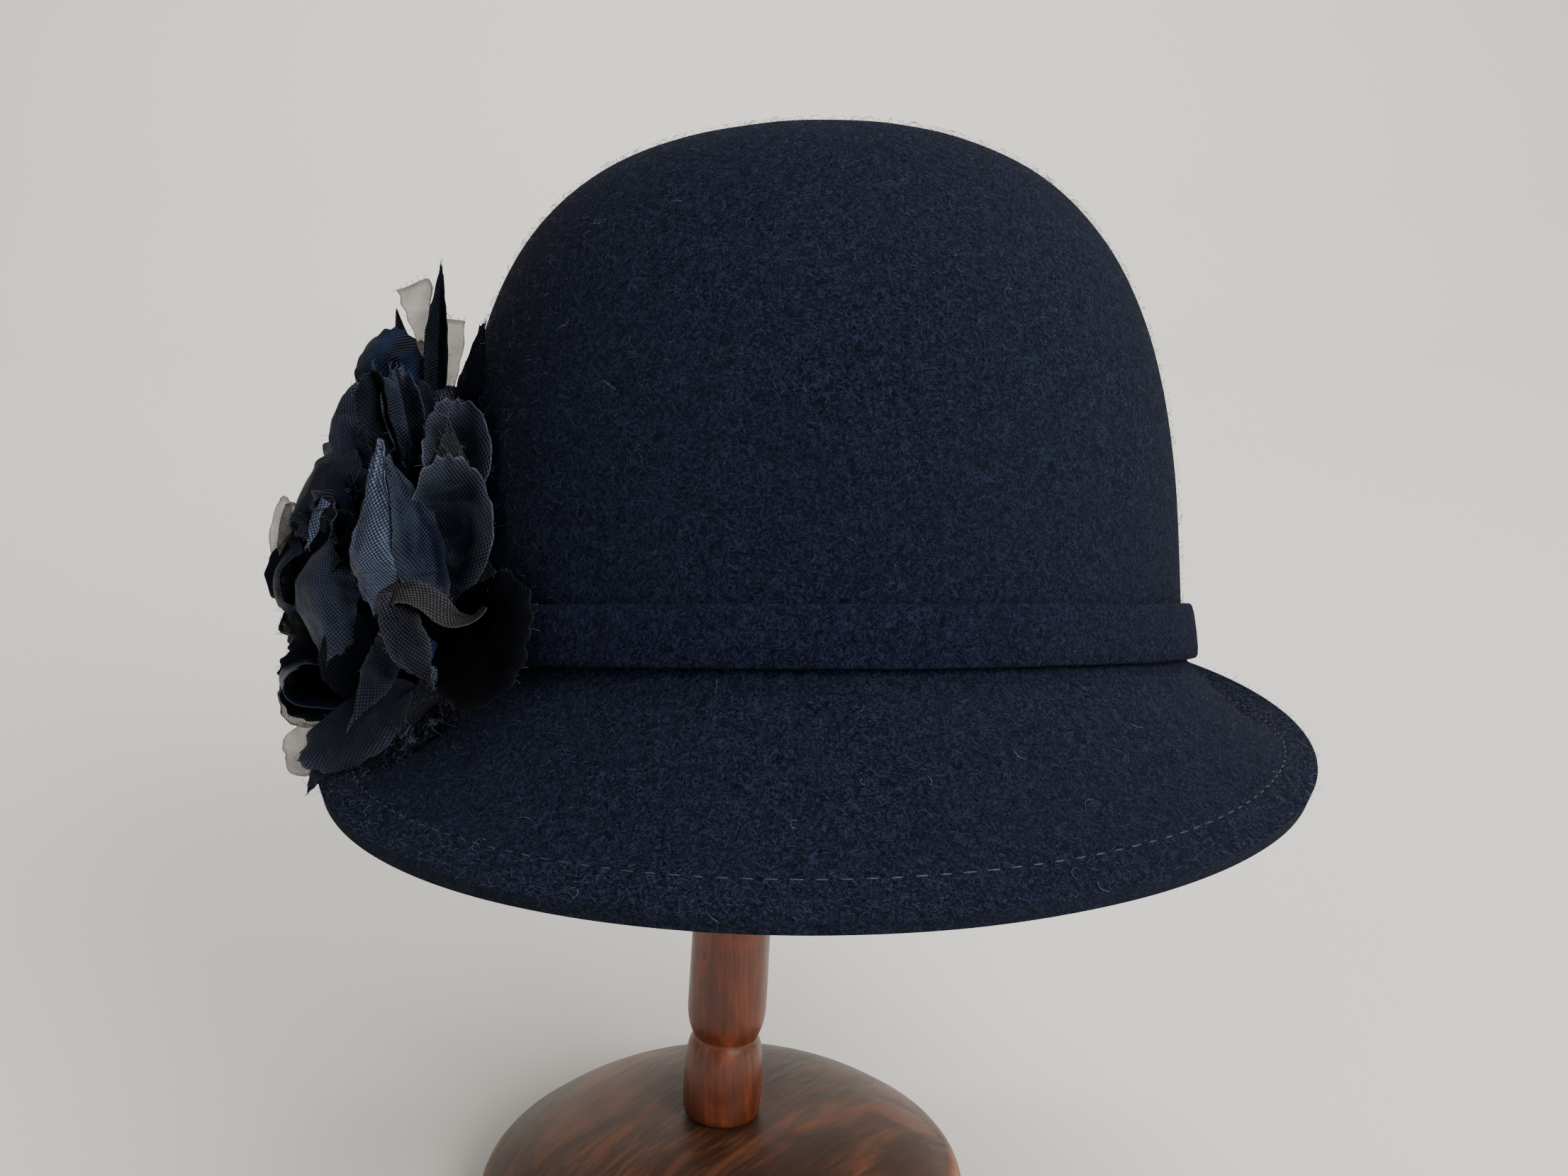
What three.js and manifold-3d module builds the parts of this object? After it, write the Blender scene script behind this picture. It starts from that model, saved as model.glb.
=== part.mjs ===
// A wool felt cloche hat with a cloth flower, resting on a turned wooden stand.
// Units are millimetres, +Z is up, -Y is the side that the hat's front faces, and the origin is
// the centre of the underside of the stand's base.
import * as THREE from 'three';
import { mergeVertices } from 'three/addons/utils/BufferGeometryUtils.js';
import Module from 'manifold-3d';

const wasm = await Module();
wasm.setup();

// ---------------------------------------------------------------- driving dimensions
const TOUCH_GAP = 0.35;            // clearance kept where two pieces touch

const STAND = {
  baseRadius: 64,                  // a turned disc about five inches across
  edgeRadius: 7.5,                 // half-round edge of the disc
  edgeMeetAngle: 63,               // degrees up the edge where the dome takes over
  domeTop: 29.2,                   // height that the dome would reach on the axis
  domePower: 3.6,
  landRadius: 12,                  // flat land that the post stands on
  postLean: 3.5,                   // degrees, towards +X
  postLength: 221,                 // along its own axis, from the land to the hidden top
  postRadius: 10.2,
  postTopRadius: 9.4,
  waistRadius: 8.4,
  waistHeight: 22.8,               // above the land, along the post
  topRadius: 36,                   // hidden dome that carries the hat
  topHeight: 27,
  topEdge: 5,
};

const HAT = {
  place: [25.4, -3.2, 155.2],      // centre of the crown's lower edge
  leanBack: 16.5,                  // degrees
  roll: 1.3,                       // degrees, the flower's side down
  halfWidth: 86,
  halfDepth: 98.5,
  bandTop: 13,                     // height of the straight wall behind the band
  domeHeight: 111.4,               // from the band's top edge to the top of the crown
  domePower: 2.93,                 // superellipse of the dome's outline
  wall: 2.4,
  brimSide: 29.5,                  // how far the brim stands out at the side
  brimFrontExtra: 5,               // more in front, as much less behind
  brimFlowerExtra: 1.9,            // more on the flower's side, as much less on the other
  edgeDrop: 15,                    // brim edge below the crown's lower edge at the side
  edgeTilt: 26.5,                  // further drop in front, as much rise behind
  edgeTwist: 1.1,                  // lower on the side away from the flower
  hollow: 4.7,                     // hollow of the brim's section at the side
  hollowBack: 3,                   // more behind, as much less in front
  hemWidth: 9.4,                   // felt turned under along the edge
  hemThickness: 4.6,
};

// The band sits twist lower at the side away from the flower, and as much higher beside it.
const BAND = { bottom: 1, height: 12.6, thickness: 2.3, standOff: 1.1, twist: 1.8 };

const FLOWER = {
  place: [-83, -25.5, 32],         // on the crown's side, in the hat's frame
  turn: 193.2,                     // degrees, the way that the flower faces
  cloth: 1.0,
  backingRadius: 20,
  backingThickness: 1.6,
  budRadius: 8,
};

// Petals, ribbon loops and strips. Each row runs from its root to its tip, given as
// out (from the crown), front and up, in the flower's frame.
//   width: across; bow: how far the middle is pushed along the face; cup: rise of both sides;
//   face: the way that the top side looks, as out, front, up.
const PETALS = [
  { name: 'petal_dark_round', root: [5, 24, -28], tip: [-9.5, 54, -25], width: 31, bow: 3, cup: -2,
    face: [1, 0.7, 0.1], cloth: 'satin' },
  { name: 'petal_right_large', root: [8, 14, -5], tip: [-3, 45, -3], width: 33, bow: 4, cup: -3,
    face: [1, 0.7, 0.2], cloth: 'satin' },
  { name: 'petal_right_upper', root: [7, 14, 12], tip: [-4, 38, 22], width: 24, bow: 3, cup: -3,
    face: [1, 0.7, 0.2], cloth: 'satin' },
  { name: 'petal_right_tip', root: [0, 14, 16], tip: [-4.5, 22, 45], width: 11, bow: 2, cup: 2,
    face: [1, 0.8, 0], cloth: 'satin' },
  { name: 'petal_top_spike', root: [8, 4, 24], tip: [3, 4, 60], width: 9, bow: 1, cup: 2.5,
    face: [0.3, 1, 0], cloth: 'satin' },
  { name: 'organza_top_left', root: [8, -1, 36], tip: [10, -1, 56], width: 8, bow: 1, cup: 1,
    face: [0.1, 1, 0.1], cloth: 'organza' },
  { name: 'organza_top_right', root: [2, -5, 34], tip: [-0.5, -4, 50], width: 8, bow: 1, cup: 1,
    face: [0.1, 1, 0.1], cloth: 'organza' },
  { name: 'ribbon_loop_top', root: [11, -8, 24], tip: [17, -7, 44], width: 17, bow: 4, cup: 3,
    face: [0.3, 1, 0.5], cloth: 'grosgrain' },
  { name: 'petal_upper_fold', root: [13, 9, 12], tip: [14, 8, 38], width: 11, bow: 2, cup: 3,
    face: [0.4, 1, 0], cloth: 'satin' },
  { name: 'petal_upper_left', root: [18, 3, 8], tip: [25, 3, 31], width: 14, bow: 3, cup: 2,
    face: [0.5, 1, 0.1], cloth: 'satin' },
  { name: 'petal_centre_satin', root: [10, 22, -19], tip: [19, 29, 12], width: 18, bow: 3, cup: -3,
    face: [0.4, 1, 0.1], cloth: 'satin' },
  { name: 'petal_centre_fold', root: [7, 29, -18], tip: [11, 36, 11], width: 10, bow: 3, cup: -3,
    face: [0.2, 1, 0.1], cloth: 'satin' },
  { name: 'petal_left_upper', root: [19, 7, 2], tip: [35, 1, 15], width: 17, bow: 3, cup: -3,
    face: [0.3, 1, 0.3], cloth: 'satin' },
  { name: 'petal_left_lower', root: [18, 12, -9], tip: [33, 13, -17], width: 25, bow: 4, cup: -3,
    face: [0.4, 1, 0], cloth: 'satin' },
  { name: 'organza_left', root: [29, -5, -3], tip: [39.5, -8, 4], width: 15, bow: 2, cup: 1,
    face: [0.5, 1, 0], cloth: 'organza' },
  { name: 'petal_curled_strip', root: [17, 31, -14], tip: [-4, 47, -18], width: 6, bow: 2, cup: 0,
    face: [0.3, 1, 0.8], cloth: 'satin' },
  { name: 'petal_lower_left_loop', root: [20, 6, -28], tip: [39, 2, -33], width: 17, bow: 4, cup: 4,
    face: [0.2, 1, -0.3], cloth: 'satin' },
  { name: 'petal_lower', root: [11, 22, -31], tip: [32, 13, -52], width: 15, bow: 2, cup: -2,
    face: [0.5, 1, 0.4], cloth: 'satin' },
  { name: 'organza_lower', root: [26, 6, -42], tip: [40, 5, -49], width: 12, bow: 1, cup: 1,
    face: [0.3, 1, 0.3], cloth: 'organza' },
  { name: 'velvet_strip', root: [6, 31, -38], tip: [24, 23, -52], width: 6, bow: 1, cup: 0,
    face: [0.6, 1, 0.9], cloth: 'velvet' },
  { name: 'strip_upper', root: [13, 37, -15], tip: [8, 37, -33], width: 8, bow: 2, cup: -1,
    face: [0.3, 1, 0], cloth: 'satin' },
  { name: 'strip_lower', root: [14, 30, -22], tip: [25, 25, -41], width: 7, bow: 1, cup: -1,
    face: [0.3, 1, 0], cloth: 'satin' },
  { name: 'petal_back_upper', root: [7, -9, 8], tip: [13, -32, 34], width: 22, bow: 4, cup: 4,
    face: [1, 0, 0], cloth: 'satin' },
  { name: 'petal_back_middle', root: [8, -11, 0], tip: [15, -40, 2], width: 26, bow: 4, cup: 4,
    face: [1, 0, 0], cloth: 'satin' },
  { name: 'petal_back_lower', root: [7, -9, -10], tip: [14, -31, -32], width: 24, bow: 4, cup: 4,
    face: [1, 0, 0], cloth: 'satin' },
  { name: 'petal_back_inner', root: [15, -5, 6], tip: [30, -20, 14], width: 19, bow: 3, cup: 4,
    face: [1, 0.5, 0], cloth: 'satin' },
  { name: 'petal_back_inner_low', root: [15, -5, -8], tip: [29, -18, -20], width: 18, bow: 3, cup: 4,
    face: [1, 0.5, 0], cloth: 'satin' },
];

const MATERIALS = {
  felt: { color: 0x161c29, roughness: 0.95, metalness: 0 },
  band: { color: 0x1b1d2c, roughness: 0.95, metalness: 0 },
  satin: { color: 0x10141f, roughness: 0.45, metalness: 0 },
  organza: { color: 0x8d857c, roughness: 0.6, metalness: 0 },
  grosgrain: { color: 0x0f1a33, roughness: 0.5, metalness: 0 },
  velvet: { color: 0x0d1222, roughness: 0.9, metalness: 0 },
  post: { color: 0x5a2a18, roughness: 0.4, metalness: 0 },
  base: { color: 0x3c2118, roughness: 0.4, metalness: 0 },
};

// ---------------------------------------------------------------- facets
const AROUND_FELT = 60;
const AROUND_STAND = 40;
const AROUND_POST = 24;
const PETAL_STEPS_ALONG = 6;
const PETAL_STEPS_ACROSS = 4;

const radians = THREE.MathUtils.degToRad;

// ---------------------------------------------------------------- mesh helpers
function piece(name, geometry, material) {
  geometry.computeVertexNormals();
  const mesh = new THREE.Mesh(geometry, new THREE.MeshStandardMaterial(MATERIALS[material]));
  mesh.name = name;
  return mesh;
}

function indexedGeometry(points, triangles) {
  const geometry = new THREE.BufferGeometry();
  const numbers = points.flatMap((point) => [point.x, point.y, point.z]);
  geometry.setAttribute('position', new THREE.Float32BufferAttribute(numbers, 3));
  geometry.setIndex(triangles.flat());
  return geometry;
}

// A closed skin through rings of equal length, shut by a point at each end.
function ringSolid(startPoint, rings, endPoint) {
  const count = rings[0].length;
  const points = [startPoint, ...rings.flat(), endPoint];
  const last = points.length - 1;
  const at = (ring, k) => 1 + ring * count + (k % count);
  const triangles = [];
  for (let k = 0; k < count; k += 1) {
    triangles.push([0, at(0, k), at(0, k + 1)]);
    for (let ring = 0; ring + 1 < rings.length; ring += 1) {
      triangles.push([at(ring, k), at(ring + 1, k), at(ring + 1, k + 1)]);
      triangles.push([at(ring, k), at(ring + 1, k + 1), at(ring, k + 1)]);
    }
    triangles.push([last, at(rings.length - 1, k + 1), at(rings.length - 1, k)]);
  }
  return indexedGeometry(points, triangles);
}

// A closed hoop through rings that follow one another and come back to the first.
function hoopSolid(rings) {
  const count = rings[0].length;
  const at = (ring, k) => (ring % rings.length) * count + (k % count);
  const triangles = [];
  for (let ring = 0; ring < rings.length; ring += 1) {
    for (let k = 0; k < count; k += 1) {
      triangles.push([at(ring, k), at(ring + 1, k), at(ring + 1, k + 1)]);
      triangles.push([at(ring, k), at(ring + 1, k + 1), at(ring, k + 1)]);
    }
  }
  return indexedGeometry(rings.flat(), triangles);
}

function toSolid(geometry) {
  const plain = geometry.clone();
  plain.deleteAttribute('normal');
  plain.deleteAttribute('uv');
  const merged = mergeVertices(plain, 1e-5);
  return new wasm.Manifold(new wasm.Mesh({
    numProp: 3,
    vertProperties: new Float32Array(merged.attributes.position.array),
    triVerts: new Uint32Array(merged.index.array),
  }));
}

function toGeometry(solid) {
  const mesh = solid.getMesh();
  const geometry = new THREE.BufferGeometry();
  geometry.setAttribute('position', new THREE.BufferAttribute(mesh.vertProperties, 3));
  geometry.setIndex(new THREE.BufferAttribute(mesh.triVerts, 1));
  return geometry;
}

function largestBody(solid) {
  const bodies = solid.decompose();
  return bodies.reduce((best, body) => (body.volume() > best.volume() ? body : best));
}

// ---------------------------------------------------------------- stand
function standBase() {
  const { baseRadius, edgeRadius, edgeMeetAngle, domeTop, domePower, landRadius } = STAND;
  const edgeCentre = baseRadius - edgeRadius;
  const profile = [new THREE.Vector2(0, 0)];
  const edgeSteps = 7;
  for (let step = 0; step <= edgeSteps; step += 1) {
    const angle = radians(-90 + (90 + edgeMeetAngle) * (step / edgeSteps));
    profile.push(new THREE.Vector2(
      edgeCentre + edgeRadius * Math.cos(angle),
      edgeRadius + edgeRadius * Math.sin(angle),
    ));
  }
  const meet = profile[profile.length - 1].clone();
  const domeHeightAt = (radius) =>
    meet.y + (domeTop - meet.y) * (1 - (radius / meet.x) ** domePower);
  const domeSteps = 5;
  for (let step = 1; step <= domeSteps; step += 1) {
    const radius = THREE.MathUtils.lerp(meet.x, landRadius, step / domeSteps);
    profile.push(new THREE.Vector2(radius, domeHeightAt(radius)));
  }
  const land = domeHeightAt(landRadius);
  profile.push(new THREE.Vector2(0, land));
  return { geometry: latheAlongZ(profile, AROUND_STAND), land };
}

// A lathe turned about +Z.
function latheAlongZ(profile, segments) {
  const geometry = new THREE.LatheGeometry(profile, segments);
  geometry.rotateX(Math.PI / 2);
  return geometry;
}

function standPost() {
  const { postRadius, postTopRadius, waistRadius, waistHeight, postLength } = STAND;
  const sunk = 4;                  // cut off level with the land afterwards
  const rows = [
    { height: -sunk, radius: postRadius - 0.3 },
    { height: 1.5, radius: postRadius - 0.1 },
    { height: 6, radius: postRadius + 0.1 },
    { height: waistHeight - 7, radius: postRadius },
    { height: waistHeight - 2.5, radius: postRadius - 0.6 },
    { height: waistHeight, radius: waistRadius },
    { height: waistHeight + 2, radius: postRadius - 0.9 },
    { height: waistHeight + 6, radius: postRadius },
    { height: waistHeight + 30, radius: postRadius - 0.3 },
    { height: postLength, radius: postTopRadius },
  ];
  const profile = [
    new THREE.Vector2(0, -sunk),
    ...rows.map((row) => new THREE.Vector2(row.radius, row.height)),
    new THREE.Vector2(0, postLength),
  ];
  return latheAlongZ(profile, AROUND_POST);
}

function standTop() {
  const { topRadius, topHeight, topEdge, postLength } = STAND;
  const bottom = postLength + TOUCH_GAP;
  const profile = [new THREE.Vector2(0, bottom), new THREE.Vector2(topRadius - topEdge, bottom)];
  const steps = 8;
  for (let step = 0; step <= steps; step += 1) {
    const angle = (Math.PI / 2) * (step / steps);
    profile.push(new THREE.Vector2(
      topRadius * Math.cos(angle) ** 0.9,
      bottom + topEdge + (topHeight - topEdge) * Math.sin(angle),
    ));
  }
  profile[profile.length - 1].x = 0;
  return latheAlongZ(profile, AROUND_POST);
}

function addStand(group) {
  const base = standBase();
  group.add(piece('stand_base', base.geometry, 'base'));
  const lean = new THREE.Matrix4()
    .makeTranslation(0, 0, base.land)
    .multiply(new THREE.Matrix4().makeRotationY(radians(STAND.postLean)));
  const post = toSolid(standPost().applyMatrix4(lean));
  const cutHeight = base.land + TOUCH_GAP;
  const levelCut = new THREE.BoxGeometry(60, 60, 20);
  levelCut.translate(0, 0, cutHeight - 10);
  group.add(piece('stand_post', toGeometry(post.subtract(toSolid(levelCut))), 'post'));
  group.add(piece('stand_top', standTop().applyMatrix4(lean), 'base'));
}

// ---------------------------------------------------------------- felt body
// Angle 0 looks to +X, and 270 degrees is the hat's front.
function crownEdge(angle, offset) {
  const { halfWidth, halfDepth } = HAT;
  const normal = new THREE.Vector2(Math.cos(angle) / halfWidth, Math.sin(angle) / halfDepth);
  normal.normalize();
  return {
    normal,
    point: new THREE.Vector3(
      halfWidth * Math.cos(angle) + offset * normal.x,
      halfDepth * Math.sin(angle) + offset * normal.y,
      0,
    ),
  };
}

// A point of the crown's skin, pushed in by depth. Rise 0 is the band's top, 1 the crown's top.
function crownPoint(angle, rise, depth) {
  const { halfWidth, halfDepth, domeHeight, domePower, bandTop } = HAT;
  const swing = rise * (Math.PI / 2);
  const reach = Math.cos(swing) ** (2 / domePower);
  const height = Math.sin(swing) ** (2 / domePower);
  return new THREE.Vector3(
    (halfWidth - depth) * reach * Math.cos(angle),
    (halfDepth - depth) * reach * Math.sin(angle),
    bandTop + (domeHeight - depth) * height,
  );
}

// The brim's section at an angle: along is 0 at the crown and 1 at the edge.
function brimSection(angle, along) {
  const lift = Math.sin(angle);
  const side = HAT.brimSide - HAT.brimFlowerExtra * Math.cos(angle);
  const reach = (side - HAT.brimFrontExtra * lift) * along;
  const edge = -HAT.edgeDrop + HAT.edgeTilt * lift - HAT.edgeTwist * Math.cos(angle);
  const hollow = HAT.hollow + HAT.hollowBack * lift;
  return new THREE.Vector2(reach, edge * along - hollow * 4 * along * (1 - along));
}

function brimNormal(angle, along) {
  const step = 0.01;
  const ahead = brimSection(angle, along + step);
  const behind = brimSection(angle, along - step);
  const tangent = ahead.sub(behind).normalize();
  return { tangent, up: new THREE.Vector2(-tangent.y, tangent.x) };
}

function brimPoint(angle, along, depth, beyond = 0) {
  const section = brimSection(angle, along);
  const { tangent, up } = brimNormal(angle, along);
  section.addScaledVector(up, -depth).addScaledVector(tangent, beyond);
  const { point } = crownEdge(angle, section.x);
  point.z = section.y;
  return point;
}

function hemStart(angle) {
  const steps = 12;
  let length = 0;
  for (let step = 0; step < steps; step += 1) {
    length += brimSection(angle, step / steps).distanceTo(brimSection(angle, (step + 1) / steps));
  }
  return 1 - HAT.hemWidth / length;
}

function ringAround(count, pointAt) {
  return Array.from({ length: count }, (_, k) => pointAt((2 * Math.PI * k) / count));
}

function feltBody() {
  const { wall, hemThickness, domeHeight, bandTop } = HAT;
  const half = hemThickness / 2;
  const rises = [0.93, 0.82, 0.7, 0.58, 0.46, 0.34, 0.22, 0.11, 0.04, 0];
  const brimSteps = [0, 0.1, 0.24, 0.4, 0.57, 0.74, 0.88, 1];
  const edgeAngles = [45, 90, 135];
  const rings = [];
  rises.forEach((rise) => rings.push(ringAround(AROUND_FELT, (a) => crownPoint(a, rise, 0))));
  brimSteps.forEach((u) => rings.push(ringAround(AROUND_FELT, (a) => brimPoint(a, u, 0))));
  edgeAngles.forEach((degrees) => {
    const angle = radians(degrees);
    const depth = half - half * Math.cos(angle);
    const beyond = half * Math.sin(angle);
    rings.push(ringAround(AROUND_FELT, (a) => brimPoint(a, 1, depth, beyond)));
  });
  rings.push(ringAround(AROUND_FELT, (a) => brimPoint(a, 1, hemThickness)));
  rings.push(ringAround(AROUND_FELT, (a) => brimPoint(a, hemStart(a) + 0.02, hemThickness)));
  rings.push(ringAround(AROUND_FELT, (a) => brimPoint(a, hemStart(a), wall)));
  [0.5, 0.3, 0.14].forEach((u) => {
    rings.push(ringAround(AROUND_FELT, (a) => brimPoint(a, u * hemStart(a), wall)));
  });
  rings.push(ringAround(AROUND_FELT, (a) => {
    const { point } = crownEdge(a, -wall);
    point.z = 2;
    return point;
  }));
  rises.slice().reverse().forEach((rise) => {
    rings.push(ringAround(AROUND_FELT, (a) => crownPoint(a, rise, wall)));
  });
  const outerTop = new THREE.Vector3(0, 0, bandTop + domeHeight);
  const innerTop = new THREE.Vector3(0, 0, bandTop + domeHeight - wall);
  return ringSolid(outerTop, rings, innerTop);
}

// The space that the felt fills and encloses, grown by a gap, which trims what is sewn on it.
function feltKeepOut(gap) {
  const rises = [0.93, 0.82, 0.7, 0.58, 0.46, 0.34, 0.22, 0.11, 0];
  const rings = rises.map((rise) => ringAround(AROUND_FELT, (a) => crownPoint(a, rise, -gap)));
  [0, 0.08, 0.22, 0.4, 0.6, 0.8, 1].forEach((u) => {
    rings.push(ringAround(AROUND_FELT, (a) => brimPoint(a, u, -gap)));
  });
  rings.push(ringAround(AROUND_FELT, (a) => brimPoint(a, 1, -gap, HAT.hemThickness)));
  rings.push(ringAround(AROUND_FELT, (a) => brimPoint(a, 1, HAT.hemThickness + gap)));
  const top = new THREE.Vector3(0, 0, HAT.bandTop + HAT.domeHeight + gap);
  return ringSolid(top, rings, new THREE.Vector3(0, 0, -HAT.edgeDrop - HAT.edgeTilt));
}

function bandRings(gap) {
  const top = BAND.bottom + BAND.height;
  const corners = [
    { offset: TOUCH_GAP - gap, z: top + gap },
    { offset: TOUCH_GAP + BAND.standOff - gap, z: BAND.bottom - gap },
    { offset: TOUCH_GAP + BAND.standOff + BAND.thickness + gap, z: BAND.bottom - gap },
    { offset: TOUCH_GAP + BAND.thickness + gap, z: top + gap },
  ];
  return corners.reverse().map((corner) => ringAround(AROUND_FELT, (angle) => {
    const { point } = crownEdge(angle, corner.offset);
    point.z = corner.z - BAND.twist * Math.cos(angle);
    return point;
  }));
}

// ---------------------------------------------------------------- flower
// A thin cupped sheet from root to tip, grown on all sides by grow.
function petalGeometry(row, grow = 0) {
  const root = new THREE.Vector3(...row.root);
  const tip = new THREE.Vector3(...row.tip);
  const along = tip.clone().sub(root).normalize();
  const face = new THREE.Vector3(...row.face);
  face.addScaledVector(along, -face.dot(along)).normalize();
  const side = new THREE.Vector3().crossVectors(face, along);
  root.addScaledVector(along, -grow);
  tip.addScaledVector(along, grow);
  const half = FLOWER.cloth / 2 + grow;
  const widthAt = (u) => {
    const shape = Math.sin(Math.PI * (0.1 + 0.86 * u ** 0.75)) ** 0.6;
    return (row.width / 2) * shape + grow;
  };
  const skin = (u, v, level) => {
    const rise = row.bow * Math.sin(Math.PI * u) + row.cup * v * v * Math.sin(Math.PI * (0.15 + 0.7 * u));
    return root.clone().lerp(tip, u)
      .addScaledVector(side, v * widthAt(u))
      .addScaledVector(face, rise + level);
  };
  const loops = [];
  for (let step = 0; step <= PETAL_STEPS_ALONG; step += 1) {
    const u = step / PETAL_STEPS_ALONG;
    const loop = [];
    for (let k = 0; k <= PETAL_STEPS_ACROSS; k += 1) {
      loop.push(skin(u, -1 + (2 * k) / PETAL_STEPS_ACROSS, half));
    }
    for (let k = PETAL_STEPS_ACROSS; k >= 0; k -= 1) {
      loop.push(skin(u, -1 + (2 * k) / PETAL_STEPS_ACROSS, -half));
    }
    loops.push(loop);
  }
  return ringSolid(skin(0, 0, 0), loops, skin(1, 0, 0));
}

function flowerPieces(hatKeepOut) {
  const inFlower = new THREE.Matrix4()
    .makeRotationZ(radians(FLOWER.turn))
    .setPosition(...FLOWER.place);
  const toHat = (geometry) => toSolid(geometry.applyMatrix4(inFlower));
  const results = [];
  let taken = hatKeepOut;

  const backing = new THREE.CylinderGeometry(
    FLOWER.backingRadius, FLOWER.backingRadius, FLOWER.backingThickness, 20,
  );
  backing.rotateZ(Math.PI / 2);
  backing.translate(1.2 + FLOWER.backingThickness / 2, 0, -4);
  const bud = new THREE.SphereGeometry(FLOWER.budRadius, 12, 8);
  bud.scale(1, 0.9, 1.1);
  bud.translate(14, 4, -4);
  const extras = [
    { name: 'flower_backing', cloth: 'velvet', geometry: backing },
    { name: 'flower_bud', cloth: 'satin', geometry: bud },
  ];
  extras.forEach(({ name, cloth, geometry }) => {
    const solid = largestBody(toHat(geometry.clone()).subtract(taken));
    results.push({ name, cloth, solid });
    const grown = geometry.clone();
    const centre = new THREE.Box3().setFromBufferAttribute(geometry.attributes.position)
      .getCenter(new THREE.Vector3());
    grown.translate(-centre.x, -centre.y, -centre.z);
    grown.scale(name === 'flower_backing' ? 1.45 : 1.06, 1.06, 1.06);
    grown.translate(centre.x, centre.y, centre.z);
    taken = taken.add(toHat(grown));
  });
  PETALS.forEach((row) => {
    const whole = toHat(petalGeometry(row));
    results.push({ name: row.name, cloth: row.cloth, solid: largestBody(whole.subtract(taken)) });
    taken = taken.add(toHat(petalGeometry(row, TOUCH_GAP)));
  });
  return results;
}

// ---------------------------------------------------------------- hat
function addHat(group) {
  const hat = new THREE.Group();
  hat.position.set(...HAT.place);
  hat.rotation.set(-radians(HAT.leanBack), -radians(HAT.roll), 0);
  hat.add(piece('felt_body', feltBody(), 'felt'));
  hat.add(piece('felt_band', hoopSolid(bandRings(0)), 'band'));
  const keepOut = toSolid(feltKeepOut(0.5)).add(toSolid(hoopSolid(bandRings(TOUCH_GAP))));
  flowerPieces(keepOut).forEach(({ name, cloth, solid }) => {
    hat.add(piece(name, toGeometry(solid), cloth));
  });
  group.add(hat);
}

const object = new THREE.Group();
addStand(object);
addHat(object);

export default object;
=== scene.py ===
"""A wool felt cloche hat with a cloth flower, on its turned wooden stand."""
import math
import random
from typing import NamedTuple

import bmesh
import bpy
from bpy.props import FloatProperty, FloatVectorProperty, IntProperty, PointerProperty
from mathutils import Euler, Matrix, Vector, noise


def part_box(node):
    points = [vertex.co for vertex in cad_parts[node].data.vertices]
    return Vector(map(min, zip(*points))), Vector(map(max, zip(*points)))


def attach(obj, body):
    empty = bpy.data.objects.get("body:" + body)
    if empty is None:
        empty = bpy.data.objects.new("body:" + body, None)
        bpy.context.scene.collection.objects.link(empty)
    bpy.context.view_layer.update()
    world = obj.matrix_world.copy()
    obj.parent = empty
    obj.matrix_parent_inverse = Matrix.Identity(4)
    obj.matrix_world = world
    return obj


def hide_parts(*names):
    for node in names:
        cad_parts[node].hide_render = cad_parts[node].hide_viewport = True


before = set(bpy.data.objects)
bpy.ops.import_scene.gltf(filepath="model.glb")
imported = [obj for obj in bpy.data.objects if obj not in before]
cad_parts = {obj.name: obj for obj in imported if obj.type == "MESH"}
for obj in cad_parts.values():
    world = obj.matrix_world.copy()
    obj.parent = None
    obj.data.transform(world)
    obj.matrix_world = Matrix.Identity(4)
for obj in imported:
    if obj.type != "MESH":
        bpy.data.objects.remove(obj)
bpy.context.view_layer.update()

bl_info = {
    "name": "Felt cloche hat",
    "version": (1, 0, 0),
    "blender": (4, 5, 0),
    "location": "3D View > Sidebar > Hat",
    "description": "Builds a felt cloche hat with a cloth flower on a wooden stand",
    "category": "Object",
}

MM = 0.001
FULL_TURN = 2 * math.pi
BODY = "root"


# ------------------------------------------------------------------ sizes that a user would change
def length(name, description, default):
    return FloatProperty(name=name, description=description, default=default * MM, unit="LENGTH")


def angle(name, description, degrees):
    return FloatProperty(
        name=name, description=description, default=math.radians(degrees), unit="ROTATION"
    )


def colour(name, description, default):
    return FloatVectorProperty(
        name=name, description=description, default=default, subtype="COLOR", size=3, min=0, max=1
    )


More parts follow.
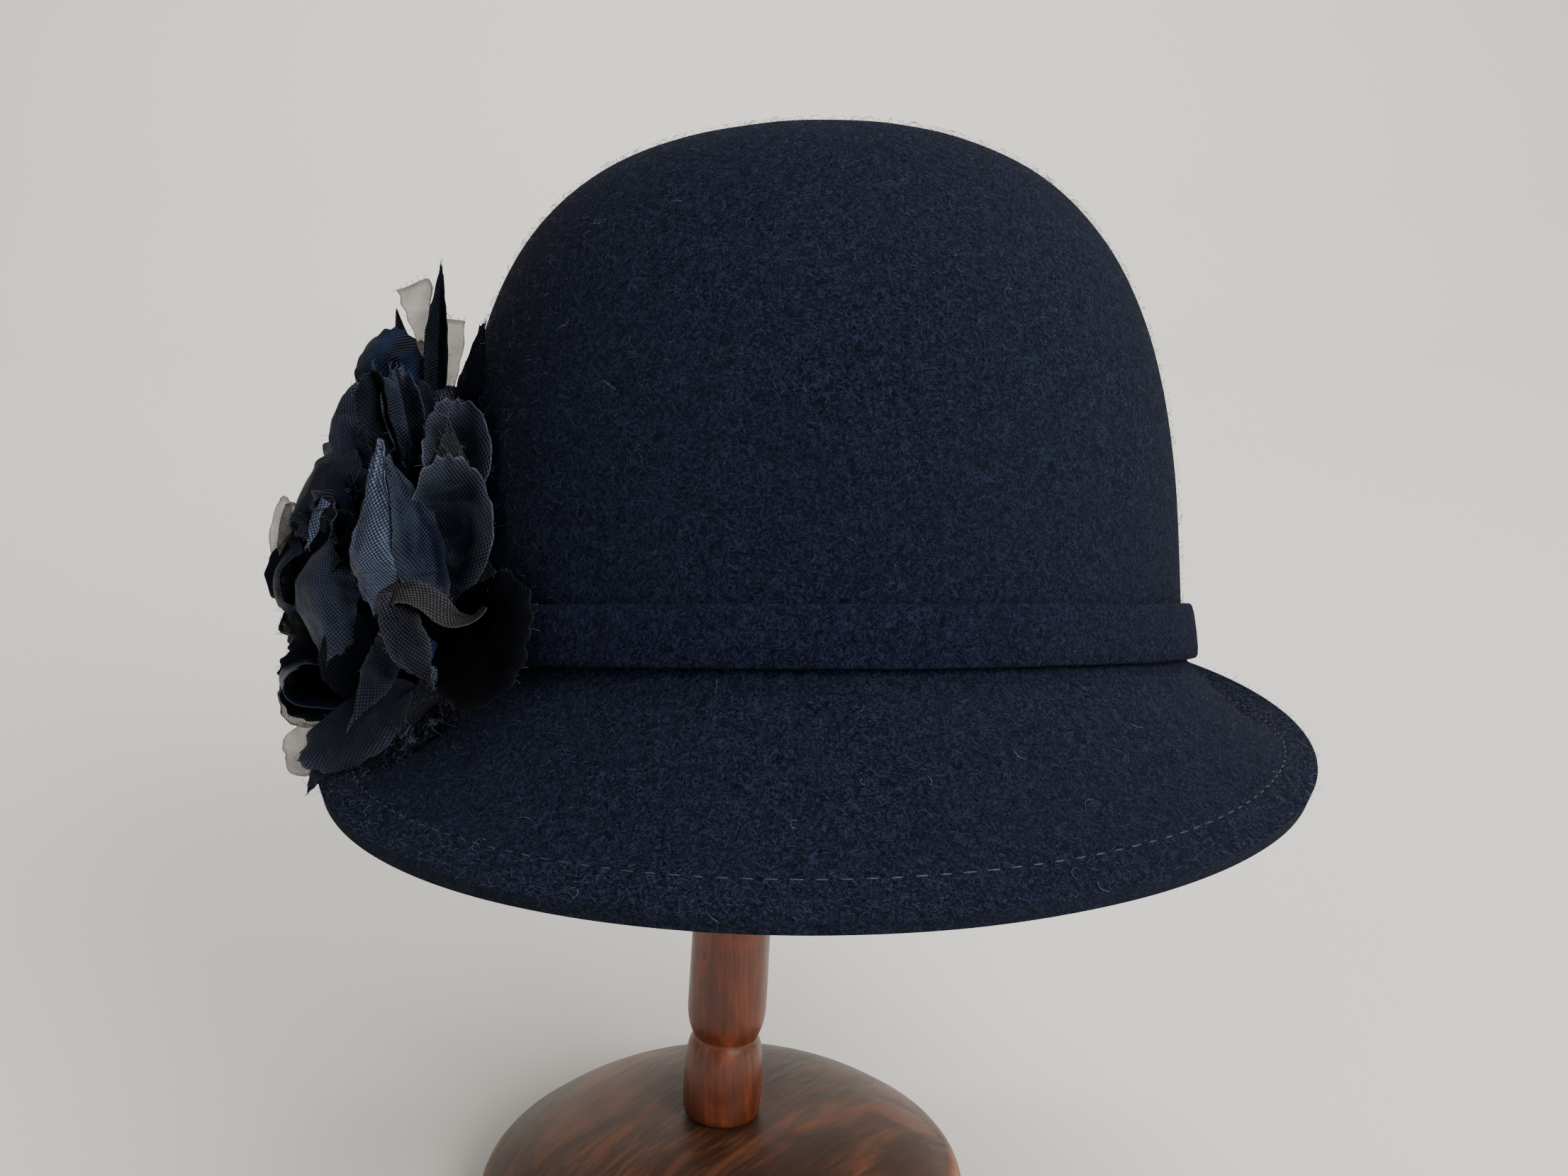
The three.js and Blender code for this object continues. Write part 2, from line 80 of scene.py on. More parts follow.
class HatSizes(bpy.types.PropertyGroup):
    """Sizes of the felt body and its band."""

    place: FloatVectorProperty(
        name="Place", description="Centre of the crown's lower edge", subtype="XYZ",
        default=(25.4 * MM, -3.2 * MM, 155.2 * MM), unit="LENGTH",
    )
    lean_back: angle("Lean back", "How far the hat leans back on its stand", 16.5)
    roll: angle("Roll", "How far the flower's side hangs down", 1.3)
    half_width: length("Half width", "Half the crown's outer width", 86)
    half_depth: length("Half depth", "Half the crown's outer depth", 98.5)
    band_top: length("Straight wall", "Height of the straight wall behind the band", 13)
    dome_height: length("Dome height", "From the straight wall to the crown's top", 111.4)
    dome_power: FloatProperty(name="Dome power", description="Fullness of the dome", default=2.93)
    wall: length("Felt", "Thickness of the felt", 2.4)
    brim_side: length("Brim at the side", "How far the brim stands out at the side", 29.5)
    brim_front_extra: length("Brim in front", "Extra reach in front, as much less behind", 5)
    brim_flower_extra: length("Brim by the flower", "Extra reach there, as much less opposite", 1.9)
    edge_drop: length("Edge drop", "Brim edge below the crown at the side", 15)
    edge_tilt: length("Edge tilt", "Further drop in front, as much rise behind", 26.5)
    edge_twist: length("Edge twist", "Lower on the side away from the flower", 1.1)
    hollow: length("Hollow", "Hollow of the brim's section at the side", 4.7)
    hollow_back: length("Hollow behind", "More hollow behind, as much less in front", 3)
    hem_width: length("Hem", "Felt turned under along the edge", 9.4)
    hem_thickness: length("Hem thickness", "Thickness of the turned edge", 4.6)
    band_height: length("Band height", "Height of the felt band", 12.6)
    band_lift: length("Band lift", "Band's lower edge above the crown's lower edge", 1)
    band_twist: length("Band twist", "Band lower away from the flower, higher beside it", 1.8)
    band_thickness: length("Band thickness", "Thickness of the felt band", 2.3)
    band_stand_off: length("Band stand-off", "How far the band's lower edge stands off", 1.1)
    stitch_pitch: length("Stitch pitch", "From one stitch to the next", 4.5)
    stitch_length: length("Stitch length", "Visible length of a stitch", 2.7)
    thread: length("Thread", "Thickness of the sewing thread", 0.42)
    fibres: IntProperty(name="Fibres", description="Loose fibres on the felt", default=6000)
    lint: IntProperty(name="Lint", description="Pale lint fibres on the felt", default=70)


class Colours(bpy.types.PropertyGroup):
    """Colours of the felt, cloth and wood."""

    felt: colour("Felt", "Wool felt of the body", (0.0083, 0.0111, 0.0232))
    band: colour("Band", "Wool felt of the band", (0.0078, 0.0098, 0.0232))
    thread: colour("Thread", "Sewing thread", (0.022, 0.026, 0.040))
    post_light: colour("Post, worn", "Worn stain of the post", (0.262, 0.060, 0.020))
    post_dark: colour("Post, dark", "Dark stain of the post", (0.055, 0.017, 0.010))
    base_light: colour("Base, worn", "Worn stain of the base", (0.205, 0.070, 0.029))
    base_dark: colour("Base, dark", "Dark stain of the base", (0.028, 0.013, 0.009))


# ------------------------------------------------------------------ materials
class Wire:
    """A socket that can be used in sums; each sum adds its Math node."""

    def __init__(self, finish, socket):
        self.finish = finish
        self.socket = socket

    def math(self, operation, *values):
        return self.finish.add("ShaderNodeMath", {"operation": operation}, dict(enumerate(values)))

    def __add__(self, other):
        return self.math("ADD", self, other)

    def __sub__(self, other):
        return self.math("SUBTRACT", self, other)

    def __mul__(self, other):
        return self.math("MULTIPLY", self, other)

    def sine(self):
        return self.math("SINE", self)


class Finish:
    """A procedural material under construction."""

    def __init__(self, name):
        self.material = bpy.data.materials.new(name)
        self.material.use_nodes = True
        self.tree = self.material.node_tree
        self.shader = self.tree.nodes["Principled BSDF"]

    def add(self, kind, settings=None, values=None, out=0):
        node = self.tree.nodes.new(kind)
        for key, value in (settings or {}).items():
            if key == "stops":
                self.set_stops(node.color_ramp, value)
            else:
                setattr(node, key, value)
        for key, value in (values or {}).items():
            self.feed(node.inputs[key], value)
        return Wire(self, node.outputs[out])

    def set_stops(self, ramp, stops):
        while len(ramp.elements) < len(stops):
            ramp.elements.new(1.0)
        for element, (position, shade) in zip(ramp.elements, stops):
            element.position = position
            element.color = (*shade, 1) if len(shade) == 3 else shade

    def feed(self, socket, value):
        if isinstance(value, Wire):
            self.tree.links.new(value.socket, socket)
        else:
            socket.default_value = value

    def surface(self, **values):
        for key, value in values.items():
            name = "Specular IOR Level" if key == "specular" else key.replace("_", " ").title()
            self.feed(self.shader.inputs[name], value)

    def place(self):
        return self.add("ShaderNodeTexCoord", out="Object")

    def weave(self):
        """The place on the cloth cut flat, and its parts across and along, in metres."""
        flat = self.add("ShaderNodeUVMap", {"uv_map": "weave"})
        parts = [self.add("ShaderNodeSeparateXYZ", None, {0: flat}, out) for out in (0, 1)]
        return flat, *parts

    def stretched(self, place, scale, turn=(0, 0, 0), shift=(0, 0, 0)):
        return self.add(
            "ShaderNodeMapping", None,
            {"Vector": place, "Scale": scale, "Rotation": turn, "Location": shift},
        )

    def noise(self, place, scale, detail, roughness, distortion=0.0):
        return self.add(
            "ShaderNodeTexNoise", None,
            {"Vector": place, "Scale": scale, "Detail": detail, "Roughness": roughness,
             "Distortion": distortion},
        )

    def drawn_noise(self, place, scale, detail, roughness, distortion=0.0):
        """Noise with a scale of its own in each direction."""
        return self.noise(self.stretched(place, scale), 1.0, detail, roughness, distortion)

    def ramp(self, value, stops):
        return self.add("ShaderNodeValToRGB", {"stops": stops}, {"Fac": value})

    def remap(self, value, low, high, new_low=0.0, new_high=1.0):
        return self.add(
            "ShaderNodeMapRange", {"clamp": True},
            {"Value": value, "From Min": low, "From Max": high,
             "To Min": new_low, "To Max": new_high},
        )

    def blend(self, share, first, second, mode="MIX"):
        """A mix of two colours, which a Mix node takes at 6 and 7 and gives out at 2."""
        return self.add(
            "ShaderNodeMix", {"data_type": "RGBA", "blend_type": mode},
            {0: share, 6: shade(first), 7: shade(second)}, out=2,
        )

    def attribute(self, name):
        return self.add("ShaderNodeAttribute", {"attribute_name": name}, out="Fac")

    def bump(self, height, distance, strength=1.0, normal=None):
        values = {"Height": height, "Distance": distance, "Strength": strength}
        if normal is not None:
            values["Normal"] = normal
        return self.add("ShaderNodeBump", None, values)


def shade(value):
    if isinstance(value, Wire) or len(value) == 4:
        return value
    return (*value, 1.0)


def dimmed(tone, share):
    return tuple(channel * share for channel in tone)


def felt_finish(name, tone):
    """Short matted wool: mottled fibres, soft nap and a rough fuzzy surface, with painted shade in
    and behind the brim's hollow.
    """
    finish = Finish(name)
    place = finish.place()
    clumps = finish.noise(place, 820, 4, 0.75, 1.8)
    grain = finish.noise(place, 2300, 2, 0.75, 2.0)
    cloud = finish.noise(place, 16, 3, 0.5)
    mottle = clumps * 0.6 + grain * 0.4
    fibre = finish.ramp(
        mottle, [(0.42, dimmed(tone, 0.12)), (0.5, dimmed(tone, 0.85)), (0.58, dimmed(tone, 3.5))]
    )
    lift = finish.remap(cloud, 0.3, 0.7, 0.0, 0.35)
    height = finish.bump(grain * 0.6 + clumps * 0.9, 0.0014, 0.9)
    napped = finish.blend(lift, fibre, dimmed(tone, 1.35))
    # painted shade: the felt darkens towards a quarter of its tone where the brim's hollow lies in
    # shade
    pressed = finish.attribute("pressed") * 0.55
    finish.surface(base_color=finish.blend(pressed, napped, dimmed(tone, 0.25)), normal=height)
    finish.surface(
        roughness=0.95, specular=0.04,
        sheen_weight=0.02, sheen_roughness=0.4, sheen_tint=(0.6, 0.7, 0.9, 1),
    )
    return finish.material


def plain_thread_finish(name, tone):
    """Twisted sewing thread."""
    finish = Finish(name)
    place = finish.place()
    strand = finish.noise(place, 2500, 2, 0.5)
    finish.surface(
        base_color=finish.ramp(strand, [(0.3, dimmed(tone, 0.5)), (0.7, dimmed(tone, 1.5))]),
        roughness=0.6, normal=finish.bump(strand, 0.0002, 0.6),
    )
    return finish.material


SATIN_PITCH = 0.95 * MM
ORGANZA_PITCH = 0.5 * MM
GROSGRAIN_PITCH = 1.15 * MM


def satin_finish(name, tone, sheen, mirror):
    """Woven satin: a slanting grid of floats and streaks, with painted highlights on the floats and
    folds, painted shade in the creases, a painted highlight towards the rim and a paler frayed rim.
    """
    finish = Finish(name)
    flat, across, along = finish.weave()
    turns = FULL_TURN / SATIN_PITCH
    floats = ((across + along * 0.35) * turns).sine()
    picks = ((along - across * 0.2) * turns).sine()
    cloth = floats * picks * 0.5 + 0.5
    streaks = finish.drawn_noise(flat, (160, 2600, 1), 3, 0.6)
    folds = finish.drawn_noise(flat, (60, 90, 1), 4, 0.55, 0.8)
    creases = finish.drawn_noise(flat, (190, 55, 1), 3, 0.5, 1.2)
    edge = finish.attribute("rim")
    # the frayed rim: paler loose threads, partly a painted highlight along the cut edge, mixed in
    # the sheen colour below
    rim = finish.remap(edge, 0.95, 1.0) * finish.remap(streaks, 0.35, 0.6, 0.3, 1.0)
    glow = finish.remap(edge, 0.35, 1.0)
    body = cloth * 0.65 + streaks * 0.35
    # painted light: float tops and streaks go up to five times the tone as highlights, and the gaps
    # between them down to a quarter of it as shade
    woven_light_and_shade = finish.ramp(
        body, [(0.25, dimmed(tone, 0.25)), (0.5, dimmed(tone, 0.9)), (0.78, dimmed(tone, 5.0))]
    )
    # painted highlight: the sheen colour laid over the raised folds
    fold_highlighted = finish.blend(finish.remap(folds, 0.5, 0.75, 0.0, 0.3), woven_light_and_shade, dimmed(sheen, 0.35))
    # painted shade: the creases darken towards an eighth of the tone
    crease_shaded = finish.blend(finish.remap(creases, 0.3, 0.5, 0.8, 0.0), fold_highlighted, dimmed(tone, 0.12))
    # painted highlight: the sheen colour grows towards the petal's rim
    rim_highlighted = finish.blend(glow * glow * cloth * 0.6, crease_shaded, dimmed(sheen, 0.6))
    threads = finish.bump(cloth * 0.6 + streaks * 0.4, 0.00026, 0.7)
    finish.surface(
        base_color=finish.blend(rim * 0.3, rim_highlighted, sheen),
        roughness=finish.remap(body, 0.2, 0.8, 0.32, 0.54),
        normal=finish.bump(folds, 0.0028, 0.35, threads),
        specular=mirror, specular_tint=(0.5, 0.66, 1.0, 1),
    )
    return finish.material


def organza_finish(name, tone, cover):
    """Sheer organza: open threads that let the light through, denser at the rim."""
    finish = Finish(name)
    flat, across, along = finish.weave()
    ribs = ((along + across * 0.6) * (FULL_TURN / ORGANZA_PITCH)).sine()
    cloud = finish.drawn_noise(flat, (150, 150, 1), 3, 0.5)
    rim = finish.remap(finish.attribute("rim"), 0.86, 1.0)
    dense = ribs * 0.12 + cloud * 0.5 + rim * 0.35
    finish.surface(
        base_color=finish.ramp(ribs * 0.25 + cloud * 0.6, [(0.1, dimmed(tone, 0.55)), (0.6, tone)]),
        alpha=finish.remap(dense, 0.1, 0.6, cover - 0.15, cover + 0.3),
        roughness=0.5, normal=finish.bump(ribs, 0.0001, 0.4),
    )
    return finish.material


def grosgrain_finish(name, tone, sheen):
    """Ribbed ribbon: thick slanting ribs with painted light and shade along them and a painted blue
    lustre.
    """
    finish = Finish(name)
    flat, across, along = finish.weave()
    ribs = ((along + across * 0.85) * (FULL_TURN / GROSGRAIN_PITCH)).sine() * 0.5 + 0.5
    broad = finish.drawn_noise(flat, (90, 40, 1), 2, 0.5)
    # painted light and shade: the rib valleys fall to an eighth of the tone and the rib tops rise
    # to three times it
    woven_light_and_shade = finish.ramp(ribs, [(0.2, dimmed(tone, 0.12)), (0.6, tone), (1.0, dimmed(tone, 3.0))])
    # painted highlight: a blue lustre added in patches over the ribs
    lustre = finish.remap(broad, 0.42, 0.66, 0, 0.9)
    finish.surface(
        base_color=finish.blend(lustre, woven_light_and_shade, sheen, "ADD"),
        roughness=0.42, specular=0.12, normal=finish.bump(ribs, 0.0008, 0.9),
    )
    return finish.material


def velvet_finish(name, tone, sheen):
    """Crushed velvet: a dark pile whose broken tips are painted pale in the sheen colour, as
    painted sheen.
    """
    finish = Finish(name)
    place = finish.place()
    pile = finish.noise(place, 1000, 4, 0.75, 1.5)
    crushed = finish.noise(place, 240, 3, 0.6)
    # painted sheen: the crushed pile's pattern, with its tips lightened to the sheen colour
    tips = finish.ramp(
        pile * 0.6 + crushed * 0.4, [(0.46, dimmed(tone, 0.3)), (0.53, tone), (0.6, sheen)]
    )
    finish.surface(
        base_color=tips, roughness=0.85, normal=finish.bump(pile, 0.0008, 0.8),
        specular=0.05, sheen_weight=0.03, sheen_roughness=0.3, sheen_tint=(0.5, 0.6, 0.9, 1),
    )
    return finish.material


def post_finish(name, light, dark):
    """Stained turned post: upright grain, dark mottles and worn orange patches."""
    finish = Finish(name)
    place = finish.place()
    grain = finish.drawn_noise(place, (620, 620, 34), 5, 0.62, 0.4)
    blotch = finish.drawn_noise(place, (85, 85, 42), 4, 0.6, 0.8)
    speck = finish.drawn_noise(place, (330, 330, 150), 3, 0.7)
    stain = finish.ramp(
        blotch * 0.55 + grain * 0.45,
        [(0.34, dark), (0.47, dimmed(light, 0.36)), (0.58, dimmed(light, 0.62)), (0.72, light)],
    )
    spots = finish.remap(speck, 0.62, 0.72, 0.0, 0.75)
    finish.surface(
        base_color=finish.blend(spots, stain, dimmed(dark, 0.6)),
        roughness=finish.remap(blotch, 0.3, 0.7, 0.28, 0.5),
        normal=finish.bump(grain, 0.0004, 0.35),
        coat_weight=finish.remap(grain, 0.3, 0.7, 0.03, 0.18), coat_roughness=0.25,
    )
    return finish.material


def base_finish(name, light, dark):
    """Worn turned disc: slanting streaks of grain, dark patches, a knot and a rubbed rim."""
    finish = Finish(name)
    place = finish.place()
    turned = finish.stretched(place, (1, 1, 1), (0, 0, math.radians(-52)))
    streak = finish.drawn_noise(turned, (60, 520, 260), 5, 0.65, 0.6)
    figure = finish.drawn_noise(turned, (22, 70, 60), 4, 0.55, 1.1)
    patch = finish.noise(place, 30, 3, 0.5, 0.6)
    knot_place = finish.stretched(place, (95, 150, 60), (0, 0, 0.5), (-3.4, -3.6, -1.5))
    knot = finish.add("ShaderNodeVectorMath", {"operation": "LENGTH"}, {0: knot_place}, out="Value")
    knot_mask = finish.remap(knot, 0.75, 1.1, 1.0, 0.0)
    stain = finish.ramp(
        streak * 0.5 + figure * 0.5,
        [(0.36, dark), (0.48, dimmed(light, 0.3)), (0.56, dimmed(light, 0.65)), (0.68, light)],
    )
    dulled = finish.blend(finish.remap(patch, 0.45, 0.62, 0.0, 0.75), stain, dimmed(dark, 1.3))
    knotted = finish.blend(knot_mask * 0.5, dulled, dimmed(light, 0.9))
    rubbed = finish.remap(finish.attribute("rim"), 0.2, 1.0) * finish.remap(figure, 0.35, 0.6)
    finish.surface(
        base_color=finish.blend(rubbed, knotted, dimmed(light, 1.4)),
        roughness=finish.remap(streak, 0.3, 0.7, 0.42, 0.6),
        normal=finish.bump(streak, 0.0005, 0.3),
        coat_weight=finish.remap(patch, 0.3, 0.7, 0.14, 0.03), coat_roughness=0.3,
    )
    return finish.material


# ------------------------------------------------------------------ mesh helpers
def finished(name, mesh_maker, finish, nodes=()):
    """Turns a bmesh into a piece of the object that rides on the only body."""
    mesh = bpy.data.meshes.new(name)
    mesh_maker.to_mesh(mesh)
    mesh_maker.free()
    for face in mesh.polygons:
        face.use_smooth = True
    piece = bpy.data.objects.new(name, mesh)
    bpy.context.scene.collection.objects.link(piece)
    mesh.materials.append(finish)
    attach(piece, BODY)
    if nodes:
        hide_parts(*nodes)
    return piece


def spun(profile, steps, place, closed=False):
    """Spins a profile of (radius, height) pairs about Z, then sends each point to its place."""
    work = bmesh.new()
    verts = [work.verts.new((radius, 0, height)) for radius, height in profile]
    pairs = list(zip(verts, verts[1:]))
    if closed:
        pairs.append((verts[-1], verts[0]))
    edges = [work.edges.new(pair) for pair in pairs]
    bmesh.ops.spin(
        work, geom=verts + edges, cent=(0, 0, 0), axis=(0, 0, 1), angle=FULL_TURN, steps=steps,
        use_merge=True,
    )
    bmesh.ops.remove_doubles(work, verts=work.verts, dist=1e-7)
    for vert in work.verts:
        radius = math.hypot(vert.co.x, vert.co.y)
        vert.co = place(math.atan2(vert.co.y, vert.co.x), radius, vert.co.z)
    bmesh.ops.recalc_face_normals(work, faces=work.faces)
    return work


def with_levels(piece, levels):
    smooth = piece.modifiers.new("Smooth", "SUBSURF")
    smooth.levels = levels
    smooth.render_levels = levels
    return smooth


# ------------------------------------------------------------------ felt body
def hat_matrix(hat):
    turn = Matrix.Rotation(-hat.lean_back, 4, "X") @ Matrix.Rotation(-hat.roll, 4, "Y")
    return Matrix.Translation(Vector(hat.place)) @ turn


def crown_edge(hat, around, offset):
    """A point offset outwards from the crown's oval, at an angle from +X."""
    normal = Vector((math.cos(around) / hat.half_width, math.sin(around) / hat.half_depth, 0))
    point = Vector((hat.half_width * math.cos(around), hat.half_depth * math.sin(around), 0))
    return point + normal.normalized() * offset


def crown_point(hat, around, rise):
    """A point of the dome. Rise 0 is the top of the straight wall, 1 the top of the crown."""
    swing = min(max(rise, 0.0), 1.0) * math.pi / 2
    reach = max(math.cos(swing), 0.0) ** (2 / hat.dome_power)
    height = math.sin(swing) ** (2 / hat.dome_power)
    return Vector((
        hat.half_width * reach * math.cos(around),
        hat.half_depth * reach * math.sin(around),
        hat.band_top + hat.dome_height * height,
    ))


def brim_section(hat, around, along):
    """Reach and height of the brim's section, from the crown (0) to the edge (1)."""
    lift = math.sin(around)
    side = hat.brim_side - hat.brim_flower_extra * math.cos(around)
    reach = (side - hat.brim_front_extra * lift) * along
    edge = -hat.edge_drop + hat.edge_tilt * lift - hat.edge_twist * math.cos(around)
    hollow = hat.hollow + hat.hollow_back * lift
    return reach, edge * along - hollow * 4 * along * (1 - along)


def brim_point(hat, around, along, above=0.0):
    step = 0.01
    reach, height = brim_section(hat, around, along)
    ahead = brim_section(hat, around, along + step)
    behind = brim_section(hat, around, along - step)
    tangent = Vector((ahead[0] - behind[0], ahead[1] - behind[1])).normalized()
    point = crown_edge(hat, around, reach - tangent.y * above)
    point.z = height + tangent.x * above
    return point


def stitch_line(hat, around):
    """Where along the brim's section the row of stitches runs."""
    steps = 16
    total = 0.0
    for step in range(steps):
        near = brim_section(hat, around, step / steps)
        far = brim_section(hat, around, (step + 1) / steps)
        total += math.hypot(far[0] - near[0], far[1] - near[1])
    return 1 - hat.hem_width / total


DOME_END = 1.0
WALL_END = 1.2
STITCHES_AT = 2.0
EDGE_AT = 3.0
RIDGE_AT = 11
VALLEY_DEPTH = 5.5 * MM
EDGE_SOFTNESS = 1.9 * MM


def felt_point(hat, around, station):
    """The outer skin: the dome up to 1, its wall, the brim up to the stitches at 2, the hem."""
    if station <= DOME_END:
        return crown_point(hat, around, 1 - station)
    if station <= WALL_END:
        share = (station - DOME_END) / (WALL_END - DOME_END)
        point = crown_edge(hat, around, 0)
        point.z = hat.band_top * (1 - share)
        return point
    line = stitch_line(hat, around)
    if station <= STITCHES_AT:
        return brim_point(hat, around, line * (station - WALL_END) / (STITCHES_AT - WALL_END))
    return brim_point(hat, around, line + (1 - line) * (station - STITCHES_AT))


def felt_skin(hat, around, station):
    """The felt's outer skin with the slight waves that steam and handling leave in it."""
    point = felt_point(hat, around, station)
    outwards = Vector((point.x, point.y, max(point.z, 0))).normalized()
    broad = noise.noise(point * 22) * 0.5 * MM
    small = noise.noise(point * 75 + Vector((3, 1, 7))) * 0.15 * MM
    calm = smooth_step((EDGE_AT - station) * 2)
    point = point + outwards * (broad + small) * calm
    point.z -= VALLEY_DEPTH * brim_valley(around, station)
    return point


def brim_place(around, station):
    """Degrees behind the ridge on the brim's right, and the way out to the stitches, 0 to 1."""
    behind = math.degrees(math.atan2(math.sin(around), math.cos(around))) + RIDGE_AT
    return behind, (station - WALL_END) / (STITCHES_AT - WALL_END)


def brim_valley(around, station):
    """Depth, up to 1, of a hollow that handling has left behind a ridge on the brim's right."""
    behind, out = brim_place(around, station)
    across = smooth_step(behind / 5) * (1 - smooth_step((behind - 12) / 20))
    return across * smooth_step(out * 5) * (1 - smooth_step((out - 0.5) * 2))


def brim_painted_shade(around, station):
    """How much painted shade darkens the felt in and behind the hollow, where the brim lies in
    shade.
    """
    behind, out = brim_place(around, station)
    across = smooth_step(behind / 6) * (1 - smooth_step((behind - 30) / 30))
    return across * smooth_step(out * 3) * (1 - smooth_step((out - 0.8) * 0.8))


def smooth_step(value):
    value = min(max(value, 0.0), 1.0)
    return value * value * (3 - 2 * value)


def felt_stations():
    dome = [0.02 + 0.98 * (step / 26) ** 1.15 for step in range(27)]
    wall = [1.05, 1.1, 1.15, 1.18, 1.2]
    brim = [1.22, 1.25, 1.29] + [1.34 + 0.0575 * step for step in range(12)]
    stitches = [1.985, 2.0, 2.035, 2.08]
    hem = [2.2, 2.36, 2.52, 2.68, 2.82, 2.92, 3.0]
    return [0.0] + dome + wall + brim + stitches + hem


def make_felt_body(hat, looks):
    stations = felt_stations()
    world = hat_matrix(hat)
    met = []

    def place(around, station, _height):
        met.append((around, station))
        point = felt_skin(hat, around, station)
        if abs(station - STITCHES_AT) < 0.01:
            point.z -= 0.3 * MM
        return world @ point

    work = spun([(station, 0) for station in stations], 144, place)
    layer = work.verts.layers.deform.verify()
    # painted shade for the felt's colour, strongest in and behind the brim's hollow
    pressed = work.verts.layers.float.new("pressed")
    thin = hat.wall / hat.hem_thickness
    for vert, (around, station) in zip(work.verts, met):
        vert[pressed] = brim_painted_shade(around, station)
        vert[layer][0] = 1.0 if station > STITCHES_AT + 0.01 else thin
    if sum(face.normal.dot(face.calc_center_median() - world @ Vector((0, 0, 0.04)))
           for face in work.faces) < 0:
        bmesh.ops.reverse_faces(work, faces=work.faces)
    wool = felt_finish("wool_felt", looks.felt)
    piece = finished("hat_felt_body", work, wool, ["felt_body"])
    piece.vertex_groups.new(name="thickness")
    thick = piece.modifiers.new("Wall", "SOLIDIFY")
    thick.thickness = hat.hem_thickness
    thick.offset = -1
    thick.vertex_group = "thickness"
    thick.use_even_offset = True
    rounded = piece.modifiers.new("Edge", "BEVEL")
    rounded.limit_method = "ANGLE"
    rounded.angle_limit = math.radians(65)
    rounded.width = EDGE_SOFTNESS
    rounded.segments = 3
    with_levels(piece, 1)
    return piece


def make_band(hat, looks):
    """Felt strip with softened edges, standing a little off the crown at its foot."""
    height, thick = hat.band_height, hat.band_thickness
    soft, gap = 0.8 * MM, 0.45 * MM
    ring = 1.0  # wide enough that no point of the strip's profile meets the axis
    profile = [
        (0, soft), (soft, 0), (thick - soft, 0), (thick, soft),
        (thick, height - soft), (thick - soft, height), (soft, height), (0, height - soft),
    ]
    world = hat_matrix(hat)

    def place(around, radius, z):
        wave = noise.noise(Vector((math.cos(around), math.sin(around), 0)) * 2.2)
        stand_off = hat.band_stand_off * (1 + 0.3 * wave) * (1 - z / height)
        point = crown_edge(hat, around, gap + radius - ring + stand_off)
        point.z = hat.band_lift + z - hat.band_twist * math.cos(around) + 0.15 * MM * wave
        return world @ point

    work = spun([(ring + x, z) for x, z in profile], 160, place, closed=True)
    wool = felt_finish("band_felt", looks.band)
    piece = finished("hat_felt_band", work, wool, ["felt_band"])
    with_levels(piece, 1)
    return piece


def brim_walk(hat, pitch):
    """Angles round the brim that lie one pitch apart along the row of stitches."""
    spots = []
    around = 0.0
    while around < FULL_TURN:
        spots.append(around)
        line = stitch_line(hat, around)
        step = 0.002
        here = brim_point(hat, around, line)
        there = brim_point(hat, around + step, line)
        around += pitch * step / (there - here).length
    return spots


def make_stitches(hat, looks):
    world = hat_matrix(hat)
    rng = random.Random(4)
    work = bmesh.new()
    for around in brim_walk(hat, hat.stitch_pitch):
        here = world @ felt_skin(hat, around, STITCHES_AT)
        ahead = world @ felt_skin(hat, around + 0.004, STITCHES_AT)
        inner = world @ felt_skin(hat, around, STITCHES_AT - 0.02)
        along = (ahead - here).normalized()
        up = along.cross(inner - here).normalized()
        side = up.cross(along).normalized()
        long = hat.stitch_length * rng.uniform(0.85, 1.1) / 2
        thick = hat.thread / 2
        laid = Matrix((along * long, side * thick, up * thick * 0.8)).transposed().to_4x4()
        laid.translation = here - up * 0.12 * MM
        made = bmesh.ops.create_uvsphere(work, u_segments=8, v_segments=5, radius=1.0)
        roll = Matrix.Rotation(math.pi / 2, 4, "Y")
        bmesh.ops.transform(work, matrix=laid @ roll, verts=made["verts"])
    thread = plain_thread_finish("sewing_thread", looks.thread)
    return finished("brim_stitches", work, thread)


def thread_piece(name, paths, thickness, finish):
    """Thin threads along paths: chains of edges, drawn out sideways and given their thickness."""
    work = bmesh.new()
    sideways = {}
    for path in paths:
        verts = [work.verts.new(point) for point in path]
        for near, far in zip(verts, verts[1:]):
            work.edges.new((near, far))
            across = (far.co - near.co).orthogonal().normalized() * thickness
            sideways[near] = across
            sideways[far] = across
    drawn = bmesh.ops.extrude_edge_only(work, edges=work.edges[:])["geom"]
    fresh = {item for item in drawn if isinstance(item, bmesh.types.BMVert)}
    for vert in fresh:
        for edge in vert.link_edges:
            old = edge.other_vert(vert)
            if old not in fresh:
                vert.co = old.co + sideways[old]
    piece = finished(name, work, finish)
    thick = piece.modifiers.new("Thread", "SOLIDIFY")
    thick.thickness = thickness
    thick.offset = 0
    return piece


def surface_spot(hat, around, station):
    """A point of the felt's skin and the way out of the felt there."""
    here = felt_skin(hat, around, station)
    ahead = felt_skin(hat, around + 0.01, station)
    below = felt_skin(hat, around, station + 0.005)
    normal = (below - here).cross(ahead - here).normalized()
    return here, normal


FIBRE = 0.05 * MM


